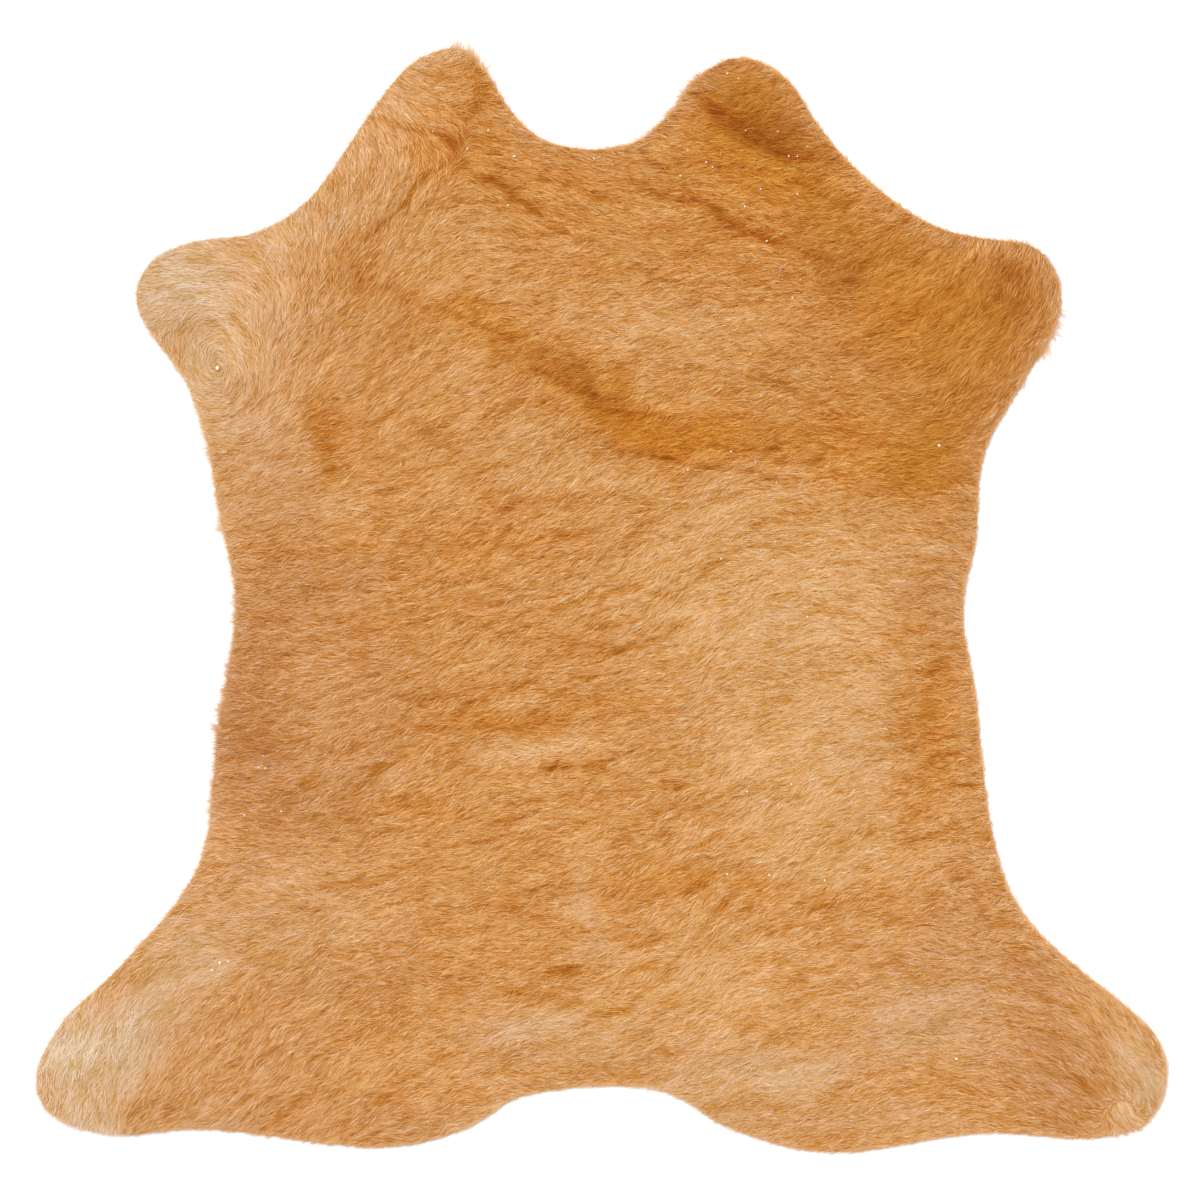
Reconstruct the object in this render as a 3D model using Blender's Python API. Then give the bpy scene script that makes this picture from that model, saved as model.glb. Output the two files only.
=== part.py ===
"""Cowhide rug: one small hair-on hide, tanned whole and laid flat with its hair side up.

Origin on the floor under the middle of the rug. +X is across the hide, +Y runs along the
spine towards the split neck, +Z is up. All lengths are in metres unless a name says mm.
"""

import math

import bmesh
import bpy
import numpy as np
from mathutils import Vector, noise

MM = 0.001

# Driving sizes of the hide
WIDTH = 0.920            # across the two hind legs
LENGTH = 0.894           # from the tips of the split neck to the rump
EDGE_HEIGHT = 0.0020     # cut edge of the skin with its hair pressed flat
FULL_HEIGHT = 0.0046     # skin about 1.3 mm thick under the lying nap
EDGE_ROLL = 0.007        # how far in from the edge the nap gains its height
UNEVENNESS = 0.0015      # slow rise and fall of the nap over the whole hide
NAP_LIE = math.radians(18)   # most of the hair lies this far from across, rising to the right
SWELL_LENGTH = 0.090     # from one rise to the next, along the lie of the hair
SWELL_WIDTH = 0.042      # and across it

# Locks of hair along the rim
LOCK_PITCH = 0.014       # from one lock to the next
LOCK_REACH = 0.0022      # how far a plain lock stands past the cut edge
LOCK_INSET = 0.0008      # how far the cut edge draws back between two locks
LOCK_LEAN = 0.30         # share of the pitch by which a tip may lean along the rim
LOCK_LONGEST = 0.008
LOCK_TAPER = 0.45        # share of its height that the longest lock loses at its tip

# How finely the top is divided
SPAN_STEPS = 12          # steps from one landmark of the outline to the next
TOP_CELL = 0.015
CREASE_CELL = 0.0075
BASE_CELL = 0.090
SNAP = 0.0006            # a dividing line this near a corner goes through it
WELD = 0.00001

HAIR_COLOUR = (0.638, 0.292, 0.100, 1.0)
HAIR_ROUGHNESS = 0.62

# Outline of the hide, clockwise as seen from above, in millimetres from its middle
OUTLINE = (
    # place on the hide, across, along
    ("left prong shoulder", -154, 437),
    ("left prong tip", -119, 447),
    ("left prong corner", -95, 431),
    ("left prong inner side", -75, 399),
    ("neck bay left", -43, 372),
    ("neck bay right", 32, 373),
    ("right prong corner", 90, 433),
    ("right prong tip", 116, 442),
    ("right prong shoulder", 150, 425),
    ("right neck side", 178, 383),
    ("right neck root", 217, 341),
    ("right shoulder", 271, 304),
    ("right foreleg top", 312, 294),
    ("right foreleg corner", 353, 287),
    ("right foreleg tip", 373, 248),
    ("right armpit", 310, 118),
    ("right chest", 304, 49),
    ("right waist", 293, -8),
    ("right belly", 302, -65),
    ("right thigh root", 335, -244),
    ("right hind leg top", 451, -356),
    ("right hind tip", 460, -389),
    ("right hind heel", 445, -424),
    ("right hind sole", 402, -437),
    ("right rump side", 312, -433),
    ("right rump bottom", 178, -448),
    ("right rump corner", 90, -422),
    ("tail bay right", 68, -406),
    ("tail bay middle", 32, -395),
    ("tail bay left", -66, -403),
    ("left rump inner side", -107, -428),
    ("left rump bottom", -172, -444),
    ("left rump side", -326, -429),
    ("left hind sole", -399, -434),
    ("left hind heel", -447, -419),
    ("left hind tip", -460, -390),
    ("left hind leg top", -438, -343),
    ("left hind leg", -394, -301),
    ("left thigh root", -326, -216),
    ("left loin", -310, -103),
    ("left waist", -296, -4),
    ("left ribs", -309, 73),
    ("left armpit", -329, 161),
    ("left foreleg tip", -379, 244),
    ("left foreleg corner", -367, 275),
    ("left foreleg top", -334, 291),
    ("left shoulder", -281, 299),
    ("left neck root", -241, 323),
)

# Creases, hollows and low ridges of the lying hide, in millimetres
CREASES = (
    # place on the hide, from across, from along, to across, to along, half width, depth
    ("shoulder crease, left end", -200, 268, -123, 232, 10, 1.0),
    ("shoulder crease, second run", -123, 232, -50, 187, 11, 1.4),
    ("shoulder crease, deepest run", -50, 187, 64, 122, 14, 1.9),
    ("shoulder crease, right run", 64, 122, 178, 106, 12, 1.0),
    ("shoulder crease, right end", 178, 106, 290, 98, 9, 0.7),
    ("left neck crease, stem", -178, 389, -119, 370, 7, 1.6),
    ("left neck crease, lower branch", -123, 362, -168, 305, 8, 1.3),
    ("left neck crease, inner branch", -111, 358, -46, 313, 8, 1.3),
    ("left prong ridge", -102, 427, -102, 397, 8, -1.1),
    ("right prong hollow", 87, 413, 162, 364, 15, 1.6),
    ("right neck crease, upper run", 44, 333, 81, 325, 8, 1.1),
    ("right neck crease, middle run", 81, 325, 113, 301, 8, 1.4),
    ("right neck crease, lower run", 113, 301, 162, 289, 8, 1.4),
    ("right neck crease, end", 180, 281, 215, 264, 9, 1.1),
    ("left elbow dent", -233, 159, -208, 98, 11, 1.8),
    ("left foreleg whorl", -312, 190, -310, 188, 9, 0.9),
    ("right foreleg dent", 330, 270, 338, 264, 16, 0.9),
    ("left chest crease", -245, 8, -98, 41, 13, 0.8),
    ("left chest crease, end", -98, 41, -64, 84, 13, 0.8),
    ("mid back crease", -139, -91, -82, -97, 10, 1.1),
    ("mid back crease, right run", -82, -97, 24, -91, 9, 0.9),
    ("right flank hollow, upper", 272, -53, 247, -94, 16, 1.2),
    ("right flank hollow, lower", 247, -94, 276, -155, 14, 1.1),
    ("loin crease", 32, -228, 154, -248, 11, 0.9),
    ("rump crease", -139, -313, 32, -333, 12, 0.6),
    ("rump edge swell", -80, -342, 20, -340, 16, -0.7),
    ("right back swell", 110, -40, 190, -170, 34, -0.7),
    ("right shoulder swell", 10, 215, 130, 205, 24, -0.7),
)

# Stretches of the rim where the hair stands further out, in millimetres
WISPS = (
    # place on the rim, across, along, spread, further reach
    ("top of the left prong", -116, 447, 16, 4.5),
    ("inner corner of the left prong", -98, 438, 14, 5.0),
    ("inner side of the right prong", 72, 417, 22, 5.5),
    ("right end of the neck bay", 50, 384, 20, 4.5),
    ("lower edge of the right foreleg", 368, 218, 24, 6.5),
    ("right armpit", 330, 165, 26, 2.5),
    ("left armpit", -324, 140, 24, 2.5),
    ("left ribs", -309, 70, 34, 2.5),
    ("left waist", -298, 0, 40, 2.0),
    ("left loin", -308, -85, 50, 2.5),
    ("left groin", -318, -165, 34, 2.0),
    ("left thigh", -345, -250, 40, 1.5),
    ("tail bay", 0, -396, 70, 1.0),
    ("left rump lobe", -220, -441, 70, 1.5),
    ("right rump lobe", 200, -447, 60, 1.0),
)


def clear_scene():
    """Remove whatever the file opened with."""
    for obj in list(bpy.data.objects):
        bpy.data.objects.remove(obj, do_unlink=True)


def hair_material():
    """Caramel hair, matt with a faint sheen."""
    material = bpy.data.materials.new("caramel_hair")
    material.use_nodes = True
    shader = material.node_tree.nodes["Principled BSDF"]
    shader.inputs["Base Color"].default_value = HAIR_COLOUR
    shader.inputs["Roughness"].default_value = HAIR_ROUGHNESS
    shader.inputs["Metallic"].default_value = 0.0
    return material


def fitted_outline():
    """The outline's landmarks, scaled so that the hide has its driving width and length."""
    points = np.array([(across, along) for _, across, along in OUTLINE], float)
    low = points.min(axis=0)
    high = points.max(axis=0)
    return (points - (low + high) / 2) * (WIDTH, LENGTH) / (high - low)


def smooth_loop(points):
    """A closed centripetal Catmull-Rom curve through the points."""
    t = (np.arange(SPAN_STEPS) / SPAN_STEPS)[:, None]
    count = len(points)
    spans = []
    for i in range(count):
        before, start, end, after = (points[(i + k) % count] for k in (-1, 0, 1, 2))
        first = math.sqrt(np.linalg.norm(start - before))
        middle = math.sqrt(np.linalg.norm(end - start))
        last = math.sqrt(np.linalg.norm(after - end))
        leave = end - start + middle * (
            (start - before) / first - (end - before) / (first + middle)
        )
        arrive = end - start + middle * (
            (after - end) / last - (after - start) / (middle + last)
        )
        spans.append(
            (2 * t**3 - 3 * t**2 + 1) * start
            + (t**3 - 2 * t**2 + t) * leave
            + (3 * t**2 - 2 * t**3) * end
            + (t**3 - t**2) * arrive
        )
    return np.concatenate(spans)


def even_walk(loop, pitch):
    """An even number of points spread evenly along a closed loop, about a pitch apart."""
    closed = np.vstack([loop, loop[:1]])
    travelled = np.concatenate(
        [[0.0], np.cumsum(np.linalg.norm(np.diff(closed, axis=0), axis=1))]
    )
    count = 2 * round(travelled[-1] / pitch / 2)
    stops = np.arange(count) * travelled[-1] / count
    return np.column_stack(
        [np.interp(stops, travelled, closed[:, axis]) for axis in (0, 1)]
    )


def lock_reach(point):
    """How far a lock at this place on the rim stands past the cut edge."""
    reach = LOCK_REACH
    for _, across, along, spread, further in WISPS:
        away = math.dist(point, (across * MM, along * MM)) / (spread * MM)
        reach += further * MM * math.exp(-away * away)
    return reach


def rim_with_locks(loop):
    """The rim's corners: cut edge and lock tip by turns, each tip leaning along the rim."""
    stops = even_walk(loop, LOCK_PITCH / 2)
    ahead = np.roll(stops, -1, axis=0) - np.roll(stops, 1, axis=0)
    ahead /= np.linalg.norm(ahead, axis=1)[:, None]
    outward = np.column_stack([-ahead[:, 1], ahead[:, 0]])
    rim = stops - outward * LOCK_INSET
    for k in range(1, len(stops), 2):
        chance = 0.5 + noise.noise(Vector((k * 0.71, 3.0, 1.0)))
        lean = LOCK_LEAN * noise.noise(Vector((k * 0.83, 9.0, 4.0))) * LOCK_PITCH
        reach = lock_reach(stops[k]) * (0.45 + 0.55 * chance)
        rim[k] = stops[k] + outward[k] * reach + ahead[k] * lean
    return rim


def slab_from_outline(rim):
    """A flat slab of the rim's shape: a filled 2D curve, made a mesh with welded caps."""
    curve = bpy.data.curves.new("hide_outline", "CURVE")
    curve.dimensions = "2D"
    curve.fill_mode = "BOTH"
    curve.extrude = EDGE_HEIGHT / 2
    spline = curve.splines.new("POLY")
    spline.points.add(len(rim) - 1)
    for point, (x, y) in zip(spline.points, rim):
        point.co = (x, y, 0.0, 1.0)
    spline.use_cyclic_u = True
    outline = bpy.data.objects.new("hide_outline", curve)
    outline.location.z = EDGE_HEIGHT / 2
    bpy.context.scene.collection.objects.link(outline)
    bpy.context.view_layer.update()
    evaluated = outline.evaluated_get(bpy.context.evaluated_depsgraph_get())
    mesh = bpy.data.meshes.new_from_object(evaluated)
    mesh.transform(outline.matrix_world)
    bpy.data.objects.remove(outline, do_unlink=True)
    bpy.data.curves.remove(curve)
    slab = bmesh.new()
    slab.from_mesh(mesh)
    bpy.data.meshes.remove(mesh)
    bmesh.ops.remove_doubles(slab, verts=slab.verts, dist=WELD)
    inner = [edge for edge in slab.edges if all(abs(f.normal.z) > 0.9 for f in edge.link_faces)]
    bmesh.ops.dissolve_edges(slab, edges=inner, use_verts=False)
    return slab


def flat_faces(slab, side):
    """The faces of the slab's top (side 1) or of its underside (side -1)."""
    slab.normal_update()
    return [face for face in slab.faces if face.normal.z * side > 0.9]


def divide(slab, side, cell):
    """Cut the top or the underside into square cells with planes across and along."""
    for axis, size in ((0, WIDTH), (1, LENGTH)):
        normal = Vector((1.0, 0.0, 0.0)) if axis == 0 else Vector((0.0, 1.0, 0.0))
        count = round(size / cell)
        for k in range(1, count):
            faces = flat_faces(slab, side)
            geometry = set(faces)
            for face in faces:
                geometry.update(face.edges)
                geometry.update(face.verts)
            bmesh.ops.bisect_plane(
                slab,
                geom=list(geometry),
                dist=SNAP,
                plane_co=normal * (k / count - 0.5) * size,
                plane_no=normal,
            )


def segment_distance(points, start, end):
    """Distance of each point from a straight run."""
    run = end - start
    share = np.clip((points - start) @ run / (run @ run), 0.0, 1.0)
    return np.linalg.norm(points - start - share[:, None] * run, axis=1)


def crease_relief(points):
    """How much the creases lower the nap at each point, and how near the nearest one is."""
    lowered = np.zeros(len(points))
    nearness = np.zeros(len(points))
    for _, x0, y0, x1, y1, half_width, depth in CREASES:
        start = np.array((x0, y0)) * MM
        end = np.array((x1, y1)) * MM
        away = segment_distance(points, start, end) / (half_width * MM)
        trough = np.exp(-away * away)
        lowered += depth * MM * trough
        nearness = np.maximum(nearness, trough)
    return lowered, nearness


def refine_creases(slab):
    """Halve the cells that a crease runs through."""
    rim_edges = {e for e in slab.edges if any(abs(f.normal.z) < 0.5 for f in e.link_faces)}
    edges = sorted(
        {e for f in flat_faces(slab, 1) for e in f.edges} - rim_edges, key=lambda e: e.index
    )
    middles = np.array([((e.verts[0].co + e.verts[1].co) / 2)[:2] for e in edges])
    _, nearness = crease_relief(middles)
    close = [
        edge
        for edge, near in zip(edges, nearness)
        if near > 0.45 and edge.calc_length() > CREASE_CELL * 1.2
    ]
    bmesh.ops.subdivide_edges(slab, edges=close, cuts=1, use_grid_fill=True)


def slow_swell(place):
    """The nap's slow rise and fall, drawn out along the lie of the hair, from -1 to 1."""
    along = place[0] * math.cos(NAP_LIE) + place[1] * math.sin(NAP_LIE)
    across = place[1] * math.cos(NAP_LIE) - place[0] * math.sin(NAP_LIE)
    return noise.noise(Vector((along / SWELL_LENGTH, across / SWELL_WIDTH, 2.0)))


def raise_top(slab, loop):
    """Give the top the height of the nap, rolled off at the rim and lowered in the creases."""
    top = sorted({v for f in flat_faces(slab, 1) for v in f.verts}, key=lambda v: v.index)
    places = np.array([v.co[:2] for v in top])
    edge_distance = np.full(len(top), np.inf)
    for start, end in zip(loop, np.roll(loop, -1, axis=0)):
        edge_distance = np.minimum(edge_distance, segment_distance(places, start, end))
    lowered, _ = crease_relief(places)
    for vert, place, distance, trough in zip(top, places, edge_distance, lowered):
        on_rim = any(abs(face.normal.z) < 0.5 for face in vert.link_faces)
        if on_rim:
            vert.co.z = EDGE_HEIGHT * (1.0 - LOCK_TAPER * min(distance / LOCK_LONGEST, 1.0))
            continue
        gained = 1.0 - math.exp(-distance / EDGE_ROLL)
        height = EDGE_HEIGHT + (FULL_HEIGHT - EDGE_HEIGHT) * gained
        vert.co.z = height + (UNEVENNESS * slow_swell(place) - trough) * gained


def centre_on_origin(slab):
    """Bring the middle of the hide's box over the origin, locks included."""
    places = np.array([v.co for v in slab.verts])
    middle = (places.min(axis=0) + places.max(axis=0)) / 2
    bmesh.ops.translate(slab, vec=(-middle[0], -middle[1], 0.0), verts=slab.verts)


def make_hide(collection):
    """The whole hide, one closed solid with a flat underside."""
    loop = smooth_loop(fitted_outline())
    slab = slab_from_outline(rim_with_locks(loop))
    divide(slab, -1, BASE_CELL)
    divide(slab, 1, TOP_CELL)
    refine_creases(slab)
    bmesh.ops.triangulate(slab, faces=flat_faces(slab, 1))
    slab.verts.index_update()
    raise_top(slab, loop)
    centre_on_origin(slab)
    bmesh.ops.triangulate(slab, faces=slab.faces)
    bmesh.ops.recalc_face_normals(slab, faces=slab.faces)
    mesh = bpy.data.meshes.new("hide")
    slab.to_mesh(mesh)
    slab.free()
    mesh.shade_smooth()
    mesh.set_sharp_from_angle(angle=math.radians(40))
    mesh.materials.append(hair_material())
    hide = bpy.data.objects.new("hide", mesh)
    collection.objects.link(hide)
    return hide


clear_scene()
rug = bpy.data.collections.new("cowhide_rug")
bpy.context.scene.collection.children.link(rug)
make_hide(rug)
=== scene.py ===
# Cowhide rug: a small hair-on calf hide in caramel brown, laid flat with its hair side up.
# Metres, +Z up out of the hair, +Y along the spine towards the split neck.
import math

import bmesh
import bpy
import numpy as np
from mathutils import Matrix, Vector
from mathutils.bvhtree import BVHTree


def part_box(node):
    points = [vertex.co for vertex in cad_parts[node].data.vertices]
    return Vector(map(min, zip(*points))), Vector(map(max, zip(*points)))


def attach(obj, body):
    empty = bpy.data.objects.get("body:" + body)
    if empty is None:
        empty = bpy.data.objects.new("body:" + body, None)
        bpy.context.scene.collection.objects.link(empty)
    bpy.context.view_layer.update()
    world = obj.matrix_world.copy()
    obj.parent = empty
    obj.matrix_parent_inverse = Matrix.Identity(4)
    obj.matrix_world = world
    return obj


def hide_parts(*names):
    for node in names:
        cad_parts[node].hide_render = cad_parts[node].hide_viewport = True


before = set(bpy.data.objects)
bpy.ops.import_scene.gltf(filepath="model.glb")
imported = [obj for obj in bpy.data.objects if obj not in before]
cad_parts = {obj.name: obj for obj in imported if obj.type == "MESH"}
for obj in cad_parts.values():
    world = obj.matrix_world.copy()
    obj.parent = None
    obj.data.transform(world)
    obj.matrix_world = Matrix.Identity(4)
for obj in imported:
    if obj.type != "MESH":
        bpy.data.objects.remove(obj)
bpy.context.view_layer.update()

# The tanned skin: one whole calf hide with split neck, legs and tail bay, trimmed to its outline.
# It is leather a little over 1 mm thick at the rim, buffed to pale suede on its flesh side.
# It lies flat on the floor. Its top is the bed that the hair grows from, streaked like hair roots and painted
# dark with the shade at the bottom of the nap.

MM = 0.001
NAP_DEPTH = 2.1 * MM          # the lying hair, from the skin to the top of the nap
THINNEST_SKIN = 1.1 * MM
SKIN_CELL = 6.0 * MM
EDGE_DRAWN_IN = 0.4 * MM      # the cut edge lies this far inside the middle line of the rim's locks
OUTLINE_STEP = 1.5 * MM
LOCK_SMOOTHING = 7.0 * MM     # evens out the rim's locks, which stand 14 mm apart
TABLE_CELL = 4.0 * MM
COAT_CELL = 2.0 * MM
NAP_CELL = 1.0 * MM
TABLE_MARGIN = 24.0 * MM


def walk_round_rim():
    """The corners of the solid's rim on the floor, in order, counter-clockwise from above."""
    solid = bmesh.new()
    solid.from_mesh(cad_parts["hide"].data)
    bmesh.ops.remove_doubles(solid, verts=solid.verts, dist=0.01 * MM)
    solid.normal_update()
    under = {face for face in solid.faces if face.normal.z < -0.9}
    neighbours = {}
    for edge in solid.edges:
        if sum(face in under for face in edge.link_faces) == 1:
            first, second = edge.verts
            neighbours.setdefault(first, []).append(second)
            neighbours.setdefault(second, []).append(first)
    start = next(iter(neighbours))
    last = start
    here = neighbours[start][0]
    corners = [start.co.copy()]
    while here is not start:
        corners.append(here.co.copy())
        onward = [vert for vert in neighbours[here] if vert is not last]
        last = here
        here = onward[0]
    solid.free()
    rim = np.array(corners)[:, :2]
    following = np.roll(rim, -1, axis=0)
    turned = np.sum(rim[:, 0] * following[:, 1] - rim[:, 1] * following[:, 0])
    return rim if turned > 0 else rim[::-1]


def even_steps(loop, step):
    """Points spread evenly along a closed loop, about a step apart."""
    closed = np.vstack([loop, loop[:1]])
    gone = np.concatenate([[0.0], np.cumsum(np.linalg.norm(np.diff(closed, axis=0), axis=1))])
    count = round(gone[-1] / step)
    stops = np.arange(count) * gone[-1] / count
    return np.column_stack([np.interp(stops, gone, closed[:, axis]) for axis in (0, 1)])


def smooth_round(loop, step, spread):
    """A closed loop of even steps with its small teeth averaged away."""
    reach = math.ceil(3 * spread / step)
    total = np.zeros_like(loop)
    weights = 0.0
    for k in range(-reach, reach + 1):
        weight = math.exp(-0.5 * (k * step / spread) ** 2)
        total += weight * np.roll(loop, k, axis=0)
        weights += weight
    return total / weights


def loop_outward(loop):
    """The unit direction away from the hide at each point of a counter-clockwise loop."""
    ahead = np.roll(loop, -1, axis=0) - np.roll(loop, 1, axis=0)
    ahead /= np.linalg.norm(ahead, axis=1)[:, None]
    return np.column_stack([ahead[:, 1], -ahead[:, 0]])


rim_corners = walk_round_rim()
rim_line = smooth_round(even_steps(rim_corners, OUTLINE_STEP), OUTLINE_STEP, LOCK_SMOOTHING)
rim_out = loop_outward(rim_line)
cut_edge = rim_line - rim_out * EDGE_DRAWN_IN

table_low = rim_line.min(axis=0) - TABLE_MARGIN


def table_grid(cell):
    """The places of a table of square cells over the hide, and its size in cells."""
    size = np.ceil((rim_line.max(axis=0) + TABLE_MARGIN - table_low) / cell).astype(int)
    x, y = np.meshgrid(*(np.arange(n) for n in size), indexing="ij")
    return table_low + np.column_stack([x.ravel(), y.ravel()]) * cell, size


table_places, table_size = table_grid(TABLE_CELL)


def inside_loop(places, loop):
    """Whether each place lies inside a closed loop, by counting crossings."""
    crossed = np.zeros(len(places), bool)
    for (x0, y0), (x1, y1) in zip(loop, np.roll(loop, -1, axis=0)):
        spans = (y0 > places[:, 1]) != (y1 > places[:, 1])
        if y0 != y1:
            crossing = x0 + (places[:, 1] - y0) * (x1 - x0) / (y1 - y0)
            crossed ^= spans & (places[:, 0] < crossing)
    return crossed


def distance_table(loop):
    """How far inside the loop each place of the table lies, below nought outside it."""
    nearest = np.full(len(table_places), np.inf)
    for start in range(0, len(table_places), 4000):
        block = table_places[start:start + 4000]
        gaps = block[:, None, :] - loop[None, ::2, :]
        nearest[start:start + 4000] = np.sqrt((gaps ** 2).sum(axis=2).min(axis=1))
    sign = np.where(inside_loop(table_places, loop[::2]), 1.0, -1.0)
    return (nearest * sign).reshape(table_size)


def nap_table():
    """The height of the solid's top at each place, carried on a little way past its rim."""
    tree = BVHTree.FromObject(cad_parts["hide"], bpy.context.evaluated_depsgraph_get())
    down = Vector((0.0, 0.0, -1.0))
    heights = np.full(len(table_places), np.nan)
    for k, (x, y) in enumerate(table_places):
        hit = tree.ray_cast(Vector((x, y, 1.0)), down)[0]
        if hit is not None:
            heights[k] = hit.z
    heights = heights.reshape(table_size)
    steps = [(i, j) for i in (-1, 0, 1) for j in (-1, 0, 1)]
    while np.isnan(heights).any():
        around = np.stack([np.roll(heights, step, axis=(0, 1)) for step in steps])
        known = ~np.isnan(around)
        mean = np.where(known, around, 0.0).sum(axis=0) / np.maximum(known.sum(axis=0), 1)
        heights = np.where(np.isnan(heights) & known.any(axis=0), mean, heights)
    weights = {0: 0.5, 1: 0.25, -1: 0.25}
    return sum(weights[i] * weights[j] * np.roll(heights, (i, j), axis=(0, 1)) for i, j in steps)


def read_table(table, places, spacing=TABLE_CELL):
    """A table's value at each place, blended between its four nearest cells."""
    at = np.clip((places - table_low) / spacing, 0.0, np.array(table.shape) - 1.001)
    cell = at.astype(int)
    share = at - cell
    i, j = cell.T
    u, v = share.T
    near = table[i, j] * (1 - v) + table[i, j + 1] * v
    far = table[i + 1, j] * (1 - v) + table[i + 1, j + 1] * v
    return near * (1 - u) + far * u


inset_table = distance_table(rim_line)
height_table = nap_table()


def skin_height(places):
    """The top of the skin under the nap."""
    return np.maximum(read_table(height_table, places) - NAP_DEPTH, THINNEST_SKIN)


def screen_colour(red, green, blue):
    """A colour as a screen shows it, 0 to 255, in the linear numbers that shaders take."""
    shares = np.array((red, green, blue)) / 255
    return np.where(shares <= 0.04045, shares / 12.92, ((shares + 0.055) / 1.055) ** 2.4)


def chance(cells, seed):
    """An even random number from 0 to 1 for each whole-numbered cell."""
    mixed = cells.astype(np.uint64)
    bits = mixed[..., 0] * np.uint64(0x9E3779B97F4A7C15) ^ mixed[..., 1] * np.uint64(0xC2B2AE3D27D4EB4F)
    bits ^= np.uint64(seed) * np.uint64(0x165667B19E3779F9)
    bits = (bits ^ bits >> np.uint64(31)) * np.uint64(0xBF58476D1CE4E5B9)
    bits = (bits ^ bits >> np.uint64(27)) * np.uint64(0x94D049BB133111EB)
    return (bits >> np.uint64(11)).astype(float) / 2.0 ** 53


def drift(places, pitch, seed):
    """A smooth value from -1 to 1 that changes over about a pitch."""
    at = places / pitch + 1000.0
    cell = np.floor(at)
    u, v = ((at - cell) ** 2 * (3 - 2 * (at - cell))).T
    corner = [chance(cell + step, seed) for step in ((0, 0), (0, 1), (1, 0), (1, 1))]
    near = corner[0] * (1 - v) + corner[1] * v
    far = corner[2] * (1 - v) + corner[3] * v
    return 2 * (near * (1 - u) + far * u) - 1


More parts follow.
